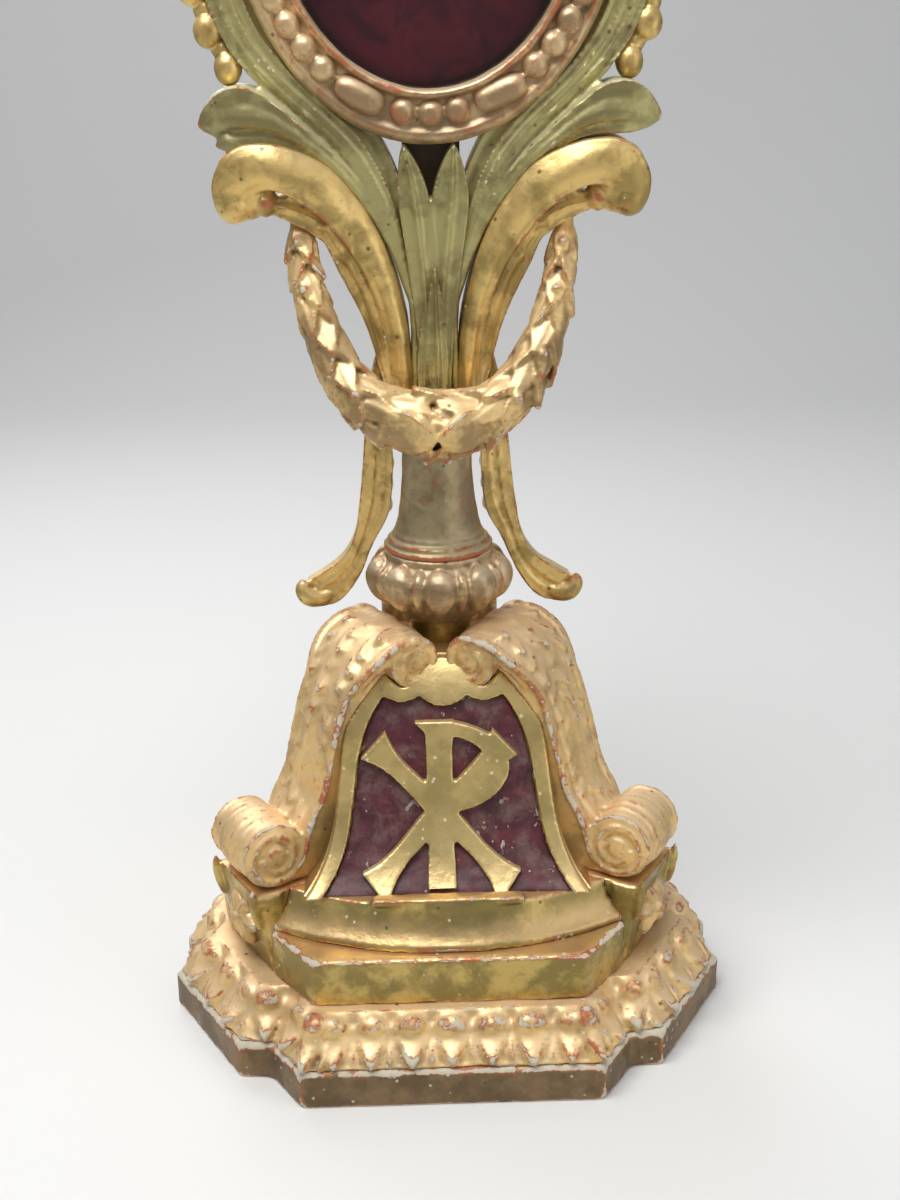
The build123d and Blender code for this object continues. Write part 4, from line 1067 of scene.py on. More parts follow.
def scroll_block():
    """One bracket along +X: slab, crowned leafy back, rims, volutes and banded barrel."""
    block = Block()
    edge = smooth_line(scroll_edge(), 40)
    run = directions(edge)
    sunk = edge - np.stack([-run[:, 1], run[:, 0]], 1) * 2.2
    low = SILL_TOP
    outline = [tuple(p) for p in sunk] + [(FOOT_VOLUTE[0], FOOT_VOLUTE[1]), (FOOT_VOLUTE[0], low),
                                          (SCROLL_BACK, low), (SCROLL_BACK, HEAD_VOLUTE[1])]
    block.add(*loft([[(s, -SCROLL_HALF, z) for s, z in outline], [(s, SCROLL_HALF, z) for s, z in outline]]))
    centre = [(s, 0, z) for s, z in sunk]
    normal = lambda t: np.array([-run[min(int(t * 39), 39)][1], 0, run[min(int(t * 39), 39)][0]])
    wide = lambda t: half_width(sunk[min(int(t * 39 + 0.5), 39)][1])
    block.add(*ribbon(centre, lambda t: wide(t) - 0.4, lambda t, u: 2.6 * (1 - abs(u) ** 2.4), lambda t: 5.0,
                      lift=normal))
    spots = []
    for row, shift in ((0.0, 0.0), (-0.60, 0.5), (0.60, 0.5)):
        number = 12
        for i in range(number):
            t = (i + 0.35 + shift) / number
            if t > 0.97:
                continue
            k = min(int(t * 39), 39)
            out = Vector((-run[k][1], row * 0.55, run[k][0]))
            along = Vector((run[k][0], 0, run[k][1]))
            lift = 0.9 if row == 0 else -0.2
            at = Vector((sunk[k][0], row * half_width(sunk[k][1]), sunk[k][1])) + out.normalized() * lift
            spots.append((tuple(at), axes(out, -along), (1.0 if row == 0 else 0.92, 0.95, 1.0)))
    block.add_mesh(repeat(scroll_leaf(), spots, carved_gold(), uneven_turn=0.12, uneven_size=0.10, seed=12))
    for (s, z, r), half in ((FOOT_VOLUTE, SCROLL_HALF), (HEAD_VOLUTE, HEAD_HALF)):
        bands = [(half + 0.6, 0.985), (half - 0.8, 0.99), (half - 2.2, 0.89), (half - 4.0, 0.97),
                 (half - 5.4, 0.92), (half - 7.6, 1.02), (half - 9.2, 0.95), (half - 11.6, 1.05), (0.0, 1.01)]
        profile = [(k, r * f) for k, f in bands] + [(-k, r * f) for k, f in bands[-2::-1]]
        rings = [[(s + f * math.cos(a), k, z + f * math.sin(a))
                  for a in np.linspace(0, 2 * math.pi, 40, endpoint=False)] for k, f in profile]
        block.add(*loft(rings))
        for side in (-1, 1):
            eye = [(s, side * (half - 1.0), z), (s, side * (half + 1.6), z), (s, side * (half + 2.4), z)]
            block.add(*tube(eye, [r * 0.34, r * 0.33, r * 0.24], 18, facing=(0, 0, 1)))
    for side in (-1, 1):
        rim = [(s, side * (k - 0.2), z) for s, z, k in cheek_line()]
        block.add(*ribbon(rim, lambda t: 1.35, lambda t, u: 2.5 - 0.8 * u * u, lambda t: 1.5,
                          facing=(0, side, 0)))
    return block


def build_scrolls():
    """The three scroll brackets."""
    for side, angle in CORNERS.items():
        carve(f"{side}_scroll_carved", at_corner(scroll_block(), angle), carved_gold(),
              [f"{side}_scroll"], cut=0.82, ease=1, dents=0.18, chips=0.75)


# ------------------------------------------------------------------ base: bell
def build_bell():
    """Core, sunk panels, their raised surrounds and the emblem."""
    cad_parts["base_core"].data.materials.clear()
    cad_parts["base_core"].data.materials.append(base_gold())
    for face in FACES:
        carve(f"{face}_panel_painted", frame_shell(f"{face}_panel"), sunk_red(),
              [f"{face}_panel"], cut=1.0, ease=1, dents=0.22, chips=0.3)
        carve(f"{face}_surround_gilded", frame_shell(f"{face}_surround"), bright_gold(),
              [f"{face}_surround"], cut=0.58, ease=3, dents=0.10, chips=0.35)
    carve("christogram_gilded", frame_shell("christogram"), bright_gold(),
          ["christogram"], cut=0.52, ease=1, dents=0.10, chips=0.4)


# ------------------------------------------------------------------ stem
def build_stem():
    """Lobed knob, column and the dowel inside them."""
    low, high = KNOB_LOW, KNOB_HIGH
    rise = high - low
    radius = 26.2
    knob = Block().add(*lathe([(13.4, low), (15.5, low + 0.06 * rise), (19.0, low + 0.22 * rise),
                               (22.0, low + 0.42 * rise), (22.6, low + 0.62 * rise),
                               (21.6, low + 0.80 * rise),
                               (19.6, low + 0.90 * rise), (20.2, low + 0.95 * rise), (19.4, high)]))
    lobe = Block().add(*tube(smooth_line([(0, -9.0, -3.6), (0, -4.0, -0.6), (0, 2.0, 0.4), (0, 6.6, -1.2),
                                          (0, 8.6, -3.4)], 12),
                             [1.2, 2.6, 3.7, 4.6, 5.3, 5.8, 6.1, 6.1, 5.7, 4.9, 3.4, 1.4], 14, 0.72,
                             (0, 0, 1)))
    number = sizes().knob_lobes
    spots = []
    for i in range(number * 2):
        a = math.pi * i / number - math.pi / 2
        out = Vector((math.cos(a), math.sin(a), 0))
        wide = i % 2 == 0
        at = out * (radius - (3.4 if wide else 4.2)) + Vector((0, 0, low + 0.56 * rise))
        spots.append((tuple(at), axes(out, (0, 0, 1)), (1.0, 1.0, 1.0) if wide else (0.42, 0.90, 0.95)))
    knob.add_mesh(repeat(lobe, spots, knob_gold(), uneven_size=0.05, uneven_turn=0.03, seed=3))
    carve("knob_carved", knob, knob_gold(), ["knob"], cut=0.58, ease=2, dents=0.14, chips=0.5)
    foot = high
    column = Block().add(*lathe([(19.2, foot - 0.2), (20.2, foot + 0.6), (20.2, foot + 1.8),
                                 (18.4, foot + 2.4),
                                 (18.9, foot + 3.3), (18.2, foot + 4.3), (16.6, foot + 4.8),
                                 (16.9, foot + 5.8),
                                 (16.0, foot + 7.0), (14.7, foot + 11.0), (13.8, foot + 17.0),
                                 (13.1, foot + 26.0),
                                 (12.6, foot + 36.0), (12.4, LEAF_Z)]))
    carve("column_turned", column, column_gold(), ["column"], cut=0.62, ease=2,
          dents=0.20, chips=0.4)
    # The spine's darkened wood paints the shade of the hollow behind the lance tips.
    for node in ("stem_dowel", "spine"):
        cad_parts[node].data.materials.clear()
        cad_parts[node].data.materials.append(bare_wood_and_shade())


# ------------------------------------------------------------------ upper leaves
def rail(points, count=64):
    """Smooth line in X and Z through the given points."""
    return smooth_line(points, count)


def between(a, b, share):
    """Line part of the way from one rail to another."""
    return a + (b - a) * share


def strap(a, b, front, back, hollow=0.9, columns=9, overlap=0.04):
    """Closed reed between two rails, hollowed in the middle, or crowned where hollow is negative."""
    count = len(a)
    rings = []
    across = np.linspace(-overlap, 1 + overlap, columns)
    for i in range(count):
        t = i / (count - 1)
        depth = front(t)
        top, low = [], []
        width = float(np.linalg.norm(b[i] - a[i]))
        dip = hollow * min(1.0, width / 5.0)
        for u in across:
            x, z = a[i] + (b[i] - a[i]) * u
            mid = 1 - (2 * min(max(u, 0), 1) - 1) ** 2
            top.append((x, -depth + dip * mid, z))
            low.append((x, back, z))
        rings.append(top + low[::-1])
    return loft(rings)


BLADE_INNER = [(4.6, 222), (5.0, 262), (7.4, 284), (10.0, 306), (17.5, 324), (28.5, 335.5), (40, 346.5),
               (49, 357.5), (55.5, 372), (59.5, 390), (60.0, 408), (57.5, 427), (49, 450), (45, 457)]
BLADE_OUTER = [(7.6, 222), (7.4, 262), (9.6, 276), (15.8, 295), (28, 314), (43, 329), (56, 340.5),
               (66.0, 353),
               (72.5, 368), (75.5, 387), (75.0, 407), (70.0, 428), (58.5, 453), (50, 464)]
CURL_UPPER = [(7.6, 222), (7.4, 262), (9.6, 276), (15.8, 295), (28, 314), (42, 327.5), (52, 336), (61, 341),
              (70, 339.5), (76.0, 333), (77.6, 329)]
CURL_LOWER = [(8.8, 222), (8.4, 262), (10.4, 273), (17.8, 292), (31.5, 310), (43, 319), (53, 323.5),
              (62, 324),
              (70, 324.5), (75.5, 326.5), (77.4, 328)]


def blade_block(left):
    """Right-hand green leaf in reeds, its curl, and the second lobe that only the left one has."""
    inner, outer = rail(BLADE_INNER), rail(BLADE_OUTER)
    block = Block()
    front = lambda t: 8.6 + 2.2 * math.sin(math.pi * min(1, t * 1.6)) - 1.6 * t
    cuts, steps = (0.0, 0.34, 0.57, 0.80, 1.0), (-2.4, 0.3, 0.9, 0.2)
    for a, b, step in zip(cuts, cuts[1:], steps):
        block.add(*strap(between(inner, outer, a), between(inner, outer, b),
                         lambda t, s=step: front(t) + s, 5.9, 1.3))
    upper, lower = rail(CURL_UPPER), rail(CURL_LOWER)
    bend = lambda t: 9.4 + 1.6 * t + 5.2 * max(0, t - 0.55) / 0.45 - 7.5 * max(0, t - 0.90) / 0.10
    middle = between(upper, lower, 0.42)
    block.add(*strap(upper, middle, lambda t: bend(t) + 0.5, 5.6, 0.9))
    block.add(*strap(middle, between(upper, lower, 0.74), bend, 5.6, -0.9))
    block.add(*strap(between(upper, lower, 0.74), lower, lambda t: bend(t) - 1.0, 5.6, 0.7))
    if left:
        lobe_up = rail([(40, 318), (50, 322.5), (60, 325), (68, 325.5), (72.4, 322.5)], 30)
        lobe_low = rail([(38, 314), (47, 317.5), (56, 319.2), (64, 319.4), (71.6, 321.2)], 30)
        block.add(*strap(lobe_up, lobe_low, lambda t: 10.8 + 2.6 * t - 4 * max(0, t - 0.85) / 0.15, 5.6,
                         -0.9))
    return block.mirrored() if left else block


def pointed_leaf(line, half, front, back, ridge=1.1, peak=0.72, columns=11):
    """Leaf with a sharp midrib along a line of (x, z); half is its widest half width, at the share peak."""
    def wide(t):
        t = min(max(t, 0), 1)
        rise = 0.42 + 0.58 * math.sin(math.pi / 2 * min(1, t / peak)) ** 2
        share = rise if t < peak else math.cos(math.pi / 2 * (t - peak) / (1 - peak)) ** 0.7
        return max(0.25, half * share)
    rings = []
    run = directions(line)
    for i, (x, z) in enumerate(line):
        t = i / (len(line) - 1)
        side = (run[i][1], -run[i][0])
        depth = front(t)
        top, low = [], []
        for u in np.linspace(-1, 1, columns):
            px, pz = x + side[0] * u * wide(t), z + side[1] * u * wide(t)
            vein = ridge * max(0, 1 - abs(u) * 2.6)
            hollow = 0.9 * ridge * (1 - abs(u)) * abs(u) * 2
            top.append((px, -depth - vein + hollow, pz))
            low.append((px, back, pz))
        rings.append(top + low[::-1])
    return loft(rings)


def build_long_leaves():
    """Pair of lance leaves, the bract in front of them, and the two green blades."""
    lances = Block()
    for side, tip, half in ((-1, 9.2, 5.4), (1, 7.6, 6.4)):
        line = rail([(side * 2.4, LEAF_Z), (side * 2.6, 262), (side * 4.0, 284), (side * 6.3, 304),
                     (side * tip, 321)], 40)
        lances.add(*pointed_leaf(line, half, lambda t: 11.0 + 2.0 * math.sin(math.pi * t * 0.8), -1.2, 1.3,
                                 0.78))
    lances.add(*prism([(-3.6, LEAF_Z), (3.6, LEAF_Z), (4.4, 300), (0, 303), (-4.4, 300)], -9.6, -1.2))
    carve("lance_leaves_carved", lances, green_gold(), ["lance_leaves"], cut=0.5, ease=2,
          dents=0.10, chips=0.3)
    bract = Block()
    bract.add(*pointed_leaf(rail([(0.9, 224), (1.0, 246), (0.6, 264), (0.4, 281)], 34), 3.6,
                            lambda t: 16.4 - 2.2 * t, -12.6, 1.4, 0.45))
    bract.add(*pointed_leaf(rail([(-4.2, 224), (-3.8, 244), (-2.6, 262), (-1.0, 275)], 34), 2.7,
                            lambda t: 15.0 - 2.0 * t, -12.4, 1.0, 0.45))
    carve("lower_bract_carved", bract, green_gold(), ["lower_bract"], cut=0.5, ease=2,
          dents=0.12, chips=0.4)
    for side in ("left", "right"):
        carve(f"{side}_blade_carved", blade_block(side == "left"), green_gold(),
              [f"{side}_blade"], cut=0.78, ease=1, dents=0.16, chips=0.4)


ROLL_UPPER = [(7.8, 222), (8.4, 250), (10.8, 269), (18.2, 291.8), (31.5, 311.8), (46.5, 320.5), (60, 322.6),
              (69, 318.6), (73.4, 310), (72.4, 301), (67.5, 296.6)]
ROLL_LOWER = [(13.6, 222), (15.6, 250), (18.8, 268), (26.4, 285.5), (37.5, 299.5), (47, 306), (55, 308.4),
              (60.5, 306.8), (63.0, 303.6), (63.4, 300.6), (62.4, 298.4)]
LEAFLETS = (
    ([(14.0, 226), (16.5, 246), (19.6, 262), (24.6, 276), (30.5, 284.0)], 4.6, 9.0),
    ([(17.0, 244), (21.5, 264), (27.0, 279), (33.5, 290), (40.0, 296.0)], 4.9, 9.6),
    ([(22.0, 270), (29.5, 287), (38.5, 296.5), (48.0, 301.0), (58.4, 301.6)], 5.0, 11.0),
)


def acanthus_block():
    """Right-hand gold leaf: smooth outer roll, curled head and three leaflets."""
    block = Block()
    upper, lower = rail(ROLL_UPPER, 80), rail(ROLL_LOWER, 80)
    depth = lambda t: 9.0 + 2.6 * t + 4.4 * math.sin(math.pi * min(1.0, max(0.0, (t - 0.55) / 0.45)))
    block.add(*strap(upper, lower, depth, 5.6, -3.0, 13, 0.02))
    block.add(*strap(between(upper, lower, 0.80), between(upper, lower, 1.10), lambda t: depth(t) + 0.9,
                     5.0, -0.6, 7))
    block.add(*ball((63.6, -6.6, 309.2), (9.6, 9.2, 12.2), (0, 12, 0), 14, 22))
    block.add(*ball((66.6, -9.4, 302.2), (6.2, 7.4, 6.0), (0, 20, 0), 12, 18))
    block.add(*ball((56.4, -8.0, 303.4), (5.0, 6.6, 4.4), (0, -15, 0), 12, 18))
    for points, width, out in LEAFLETS:
        leaf = rail(points, 40)
        block.add(*pointed_leaf(leaf, width, lambda t,
                                o=out: o - 2.2 + 3.2 * t - 3.0 * max(0, t - 0.86) / 0.14,
                                5.6, 1.2, 0.66, 13))
        tip = points[-1]
        block.add(*ball((tip[0] - 1.6, -out + 0.6, tip[1] - 0.6), (3.0, 2.8, 2.4), (0, -30, 0)))
    return block


DROP_OUTER = [(20.0, 250), (24.5, 232), (26.0, 216), (28.0, 196), (31.0, 179), (36.5, 169.5), (44.0, 164.0),
              (49.6, 160.5)]
DROP_INNER = [(13.0, 250), (15.0, 232), (16.4, 218), (16.6, 202), (18.4, 188), (24.0, 177), (29.6, 164),
              (37.5, 153.5),
              (45.5, 151.0)]


def drop_block():
    """Right-hand tail leaf: two reeds that part from the stem and end in a rolled toe."""
    outer, inner = rail(DROP_OUTER, 50), rail(DROP_INNER, 50)
    block = Block()
    sway = lambda t: -6.4 + 2.0 * math.sin(math.pi * t)
    for a, b, lift in ((-0.02, 0.36, 0.4), (0.36, 0.70, 0.0), (0.70, 1.02, 0.5)):
        block.add(*strap(between(outer, inner, a), between(outer, inner, b), lambda t, l=lift: sway(t) + l,
                         13.0, 0.8))
    toe = smooth_line([(40, 8.5, 156.0), (45.5, 7.5, 154.2), (49.5, 6.6, 155.2), (51.5, 6.6, 158.2),
                       (50.0, 7.4, 160.6)], 22)
    block.add(*tube(toe, [2.2 + 1.6 * math.sin(math.pi * i / 21) for i in range(22)], 12))
    for z in (206, 198, 190):
        block.add(*ball((17.2 + (206 - z) * 0.06, 8.6, z), (1.7, 2.6, 3.0)))
    return block


def build_gold_leaves():
    """Gold leaves that carry the garland, and the tails beside the column."""
    for side in ("right", "left"):
        leaf, tail = acanthus_block(), drop_block()
        if side == "left":
            leaf.mirrored(), tail.mirrored()
        carve(f"{side}_acanthus_carved", leaf, leaf_gold(), [f"{side}_acanthus"], cut=0.58,
              ease=3, dents=0.16, chips=0.5)
        carve(f"{side}_drop_carved", tail, leaf_gold(), [f"{side}_drop"], cut=0.6, ease=2,
              dents=0.16, chips=0.5)


# ------------------------------------------------------------------ garland and berries
GARLAND = [((45.5, -2.0, 301.0), 4.8), ((45.0, -6.9, 288.1), 5.3), ((42.3, -12.4, 272.4), 6.3),
           ((36.4, -18.2, 255.2), 7.6), ((27.3, -23.4, 240.2), 9.2), ((14.6, -26.4, 232.0), 11.4),
           ((0.0, -27.5, 229.5), 13.0)]


def laurel_leaf():
    """Pointed laurel leaf with a midrib; +Y is its tip and +Z its upper face."""
    leaf = Block()
    line = smooth_line([(0, -9.5, -0.8), (0, -4.0, 0.6), (0, 3.0, 1.6), (0, 10.5, 2.2)], 12)
    leaf.add(*ribbon(line, lambda t: 0.35 + 4.4 * math.sin(math.pi * (0.10 + 0.88 * t)) ** 0.85,
                     lambda t, u: 1.5 - 2.0 * abs(u) + 1.4 * u * u, lambda t: 1.3, facing=(0, 0, 1),
                     columns=7))
    return leaf


def garland_line():
    """Whole garland from the right hook to the left one: points and half thickness."""
    right = GARLAND
    stations = right + [((-p[0], p[1], p[2]), r) for p, r in reversed(right[:-1])]
    line = smooth_line([(*p, r) for p, r in stations], 121)
    return line[:, :3], line[:, 3]


def build_garland():
    """Laurel garland: rows of leaves that run down each arm to the middle, with berries between."""
    line, radius = garland_line()
    run = directions(line)
    core = Block().add(*tube(line, radius * 0.66, 18, 1.0))
    step = sizes().garland_ring
    lengths = np.concatenate([[0], np.cumsum(np.linalg.norm(np.diff(line, axis=0), axis=1))])
    half = lengths[-1] / 2
    leaves, berries = [], []
    rows = int((half - 4) / step)
    for arm in (-1, 1):
        for row in range(rows):
            away = (row + 0.55) * step
            at = half + arm * away
            k = int(np.searchsorted(lengths, at))
            along = Vector(run[k]) * (-arm)
            r = radius[k]
            side = Vector((0, -1, 0)).cross(along).normalized()
            out = along.cross(side)
            size = 0.40 + 0.62 * (r / 13.0)
            number = 5 if r > 7 else 4
            for j in range(number):
                a = 2 * math.pi * (j + 0.5 * (row % 2)) / number + 0.25 * arm
                away_dir = out * math.cos(a) + side * math.sin(a)
                spot = Vector(line[k]) + away_dir * (r * 0.66)
                lean = (along + away_dir * 0.16).normalized()
                face = (away_dir - along * 0.16).normalized()
                leaves.append((tuple(spot), axes(face, lean), (size * 1.08, size, size)))
            for j in range(2):
                a = 2 * math.pi * (j * 0.37 + 0.19 * row + 0.08)
                away_dir = out * math.cos(a) + side * math.sin(a) * 0.8
                spot = Vector(line[k]) + away_dir * (r * 0.90)
                berries.append((tuple(spot), axes(away_dir, along), (size,) * 3))
    core.add_mesh(repeat(laurel_leaf(), leaves, garland_gold(), uneven_turn=0.16, uneven_size=0.12, seed=5))
    ball_shape = Block().add(*ball((0, 0, 0), (2.7, 2.7, 2.7), rows=7, sides=10))
    core.add_mesh(repeat(ball_shape, berries, garland_gold(), uneven_size=0.15, seed=6))
    for arm in (-1, 1):
        broad = [(arm * 17, -31.5, 232.5), (arm * 10, -36.5, 229.0), (arm * 4.5, -39.2, 227.0),
                 (arm * 0.9, -39.4, 225.6)]
        core.add(*ribbon(smooth_line(broad, 16),
                         lambda t: 0.5 + 7.0 * math.sin(math.pi * (0.12 + 0.82 * t)) ** 0.8,
                         lambda t, u: 1.8 - 2.2 * abs(u) + 1.2 * u * u, lambda t: 2.6, facing=(0, -1, -0.35)))
        core.add(*ball((arm * 45.5, -1.0, 302), (5.2, 6.0, 4.6)))
    carve("garland_carved", core, garland_gold(), ["garland"], cut=0.68, ease=1, dents=0.12,
          chips=0.5)


def build_berries():
    """String of berries along the outer edge of each blade, with small ones between."""
    berry = Block().add(*ball((0, 0, 0), (5.3, 5.6, 5.2), rows=10, sides=16))
    for side in ("left", "right"):
        places = sorted(lumps(f"{side}_berries"), key=lambda p: p[2])
        spots = []
        for here, after in zip(places, places[1:] + [None]):
            spots.append(((here[0], here[1] - 0.5, here[2]), axes((0, -1, 0), (0, 0, 1)), (1.0, 1.0, 1.0)))
            if after is not None:
                at = (here + after) / 2 * (0.985, 1, 1) + (0, 0.5, 0)
                spots.append((tuple(at), axes((0, -1, 0), (0, 0, 1)), (0.66, 0.66, 0.66)))
        block = Block().add_mesh(repeat(berry, spots, leaf_gold(), uneven_size=0.09, seed=8))
        carve(f"{side}_berries_carved", block, leaf_gold(), [f"{side}_berries"], cut=0.5,
              ease=1, dents=0.16, chips=0.3)


# ------------------------------------------------------------------ oval frame and relic box
SIGHT = (50.0, 64.0)
FRAME_SIDE, FRAME_END = 14.5, 18.0
FRAME_SECTION = [(0.00, -3.7), (0.00, -13.0), (0.03, -14.7), (0.08, -15.2), (0.13, -14.6), (0.17, -12.4),
                 (0.22, -11.2),
                 (0.70, -11.2), (0.76, -12.6), (0.82, -13.0), (0.88, -12.4), (0.94, -11.2), (0.98, -10.0),
                 (1.00, -8.0),
                 (1.00, 6.0), (0.24, 6.0), (0.24, -3.7)]


def oval_ring(section, sides=240):
    """Ring of a closed section, given as (share of the rim's width, depth)."""
    rings = []
    for a in np.linspace(0, 2 * math.pi, sides, endpoint=False):
        rings.append([((SIGHT[0] + FRAME_SIDE * f) * math.sin(a), y,
                       FRAME_Z - (SIGHT[1] + FRAME_END * f) * math.cos(a)) for f, y in section])
    points, faces = loft(rings + [rings[0]], capped=False)
    return points, faces


def bead_places(offset=7.5, bar=19.0):
    """Places round the bead row as (x, z, direction, is bar), evenly stepped along its length."""
    spacing = sizes().bead_spacing
    a, b = SIGHT[0] + offset, SIGHT[1] + offset
    angles = np.linspace(0, 2 * math.pi, 1441)
    ring = np.stack([a * np.sin(angles), -b * np.cos(angles)], 1)
    lengths = np.concatenate([[0], np.cumsum(np.linalg.norm(np.diff(ring, axis=0), axis=1))])
    total = lengths[-1]

    def at(length, is_bar):
        length %= total
        x, z = np.interp(length, lengths, ring[:, 0]), np.interp(length, lengths, ring[:, 1])
        k = min(int(np.searchsorted(lengths, length)), 1439)
        step = ring[k + 1] - ring[k]
        return x, FRAME_Z + z, Vector((step[0], 0, step[1])).normalized(), is_bar

    bar_at = 1.5 * spacing + bar / 2 + 1.0
    first = bar_at + bar / 2 + spacing / 2 + 0.4
    count = max(1, round((total / 2 - 2 * first) / spacing))
    places = []
    for half in (0, total / 2):
        places += [at(half + i * spacing, False) for i in (-1, 0, 1)]
        places += [at(half + s * bar_at, True) for s in (-1, 1)]
        places += [at(half + first + (total / 2 - 2 * first) * i / count, False) for i in range(count + 1)]
    return places


def build_frame():
    """Oval frame with its lips, and the row of beads and bars."""
    carve("oval_frame_carved", Block().add(*oval_ring(FRAME_SECTION)), frame_gold(),
          ["oval_frame"], cut=0.82, ease=2, dents=0.16, chips=0.4)
    places = bead_places()
    seat = -11.0
    bead = Block().add(*ball((0, 0, 0), (4.75, 4.65, 4.6), rows=8, sides=12))
    line = smooth_line([(0, -8.6, 0), (0, 0, 0.5), (0, 8.6, 0)], 12)
    bar = Block().add(*tube(line, [2.8, 4.0, 4.5, 4.7, 4.8, 4.8, 4.8, 4.8, 4.7, 4.5, 4.0, 2.8], 14, 1.0,
                            (0, 0, 1)))
    row = Block()
    for shape, wanted in ((bead, False), (bar, True)):
        spots = [((x, seat, z), axes((0, -1, 0), along), (1.0, 1.0, 1.0)) for x, z, along,
                 kind in places if kind == wanted]
        row.add_mesh(repeat(shape, spots, frame_gold(), uneven_size=0.05, uneven_turn=0.10, seed=7))
    carve("frame_beads_carved", row, frame_gold(), ["frame_beads"], cut=0.68, ease=2,
          dents=0.16, chips=0.4)


def refinish(finish, *nodes, bevel=None):
    """Give frame nodes that keep their own shape a finish and, if asked, softened edges."""
    for name in nodes:
        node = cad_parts[name]
        node.data.materials.clear()
        node.data.materials.append(finish)
        if bevel:
            weld = node.modifiers.new("weld", "WELD")
            weld.merge_threshold = 1e-6
            soft = node.modifiers.new("soften", "BEVEL")
            soft.width = bevel * MM
            soft.segments = 3
            soft.limit_method = "ANGLE"
            soft.angle_limit = math.radians(32)
            soft.harden_normals = False


def build_relic_box():
    """Glass, glazing bead, box, door, hinges, screws and turn button."""
    refinish(clear_glass(), "glass_pane")
    refinish(frame_gold(), "glazing_bead", bevel=0.3)
    refinish(back_paint(), "back_ring", "back_door", bevel=0.5)
    refinish(brass(), "frame_hinge_leaves", "door_hinge_leaves", "turn_button", bevel=0.15)
    refinish(steel(), "hinge_pins", "frame_hinge_screws", "door_hinge_screws", "button_screw", bevel=0.15)


def build_velvet():
    """Thin stuffed pad covered in velvet, swollen by a short cloth run."""
    low, high = span("velvet_pad")
    centre = (low + high) / 2
    half_x, half_z = (high[0] - low[0]) / 2, (high[2] - low[2]) / 2
    back = high[1]
    steps, sides = 26, 96
    grid = []
    for i in range(steps + 1):
        f = i / steps
        for a in np.linspace(0, 2 * math.pi, sides, endpoint=False):
            grid.append((half_x * f * math.sin(a), half_z * f * math.cos(a)))
    points, faces = [], []
    edge_thick = 2.4
    for x, z in grid:
        f = min(1.0, math.hypot(x / half_x, z / half_z))
        swell = edge_thick * (1 - max(0.0, (f - 0.93) / 0.07) ** 2.0)
        points.append((x, back - 0.3 - swell, centre[2] + z))
    count = len(points)
    for x, z in grid:
        points.append((x, back, centre[2] + z))
    for i in range(1, steps):
        for j in range(sides):
            k = (j + 1) % sides
            a, b = i * sides, (i + 1) * sides
            faces.append((a + j, b + j, b + k, a + k))
            faces.append((count + a + j, count + a + k, count + b + k, count + b + j))
    for j in range(sides):
        k = (j + 1) % sides
        faces.append((0, sides + j, sides + k))
        faces.append((count, count + sides + k, count + sides + j))
        a = steps * sides
        faces.append((a + j, count + a + j, count + a + k, a + k))
    mesh = bpy.data.meshes.new("velvet")
    mesh.from_pydata([tuple(c * MM for c in p) for p in points], [], faces)
    tidy = bmesh.new()
    tidy.from_mesh(mesh)
    bmesh.ops.remove_doubles(tidy, verts=tidy.verts, dist=1e-7)
    bmesh.ops.recalc_face_normals(tidy, faces=tidy.faces)
    tidy.to_mesh(mesh)
    tidy.free()
    pad = bpy.data.objects.new("velvet_pad_covered", mesh)
    bpy.context.scene.collection.objects.link(pad)
    start = np.array([v.co for v in mesh.vertices])
    fixed = pad.vertex_groups.new(name="glued")
    fixed.add([v.index for v in mesh.vertices if v.co.y > (back - 0.15) * MM], 1.0, "REPLACE")
    cloth = pad.modifiers.new("cloth", "CLOTH")
    cloth.settings.quality = 6
    cloth.settings.vertex_group_mass = "glued"
    cloth.settings.use_pressure = True
    cloth.settings.uniform_pressure_force = 3.0
    cloth.settings.tension_stiffness = 25
    cloth.settings.bending_stiffness = 0.6
    cloth.settings.effector_weights.gravity = 0.0
    cloth.collision_settings.use_collision = False
    for step in range(1, 16):
        bpy.context.scene.frame_set(step)
    swollen = pad.evaluated_get(bpy.context.evaluated_depsgraph_get())
    moved = np.array([v.co for v in swollen.data.vertices])
    pad.modifiers.remove(cloth)
    bpy.context.scene.frame_set(1)
    shift = moved - start
    far = np.linalg.norm(shift, axis=1, keepdims=True)
    shift *= np.minimum(1.0, 1.3 * MM / np.maximum(far, 1e-9))
    start = start + shift
    place = start / MM
    ripple = 0.30 * grain(place, 14.0, 3) + 0.16 * grain(place, 5.0, 4)
    facing = np.clip((back - 0.6 - place[:, 1]) / 1.2, 0, 1)
    place[:, 1] -= ripple * facing
    place[:, 0] = np.clip(place[:, 0], -half_x, half_x)
    mesh.vertices.foreach_set("co", (place * MM).ravel())
    mesh.materials.append(crimson_velvet())
    mesh.shade_smooth()
    mesh.update()
    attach(pad, "back_door")
    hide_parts("velvet_pad")


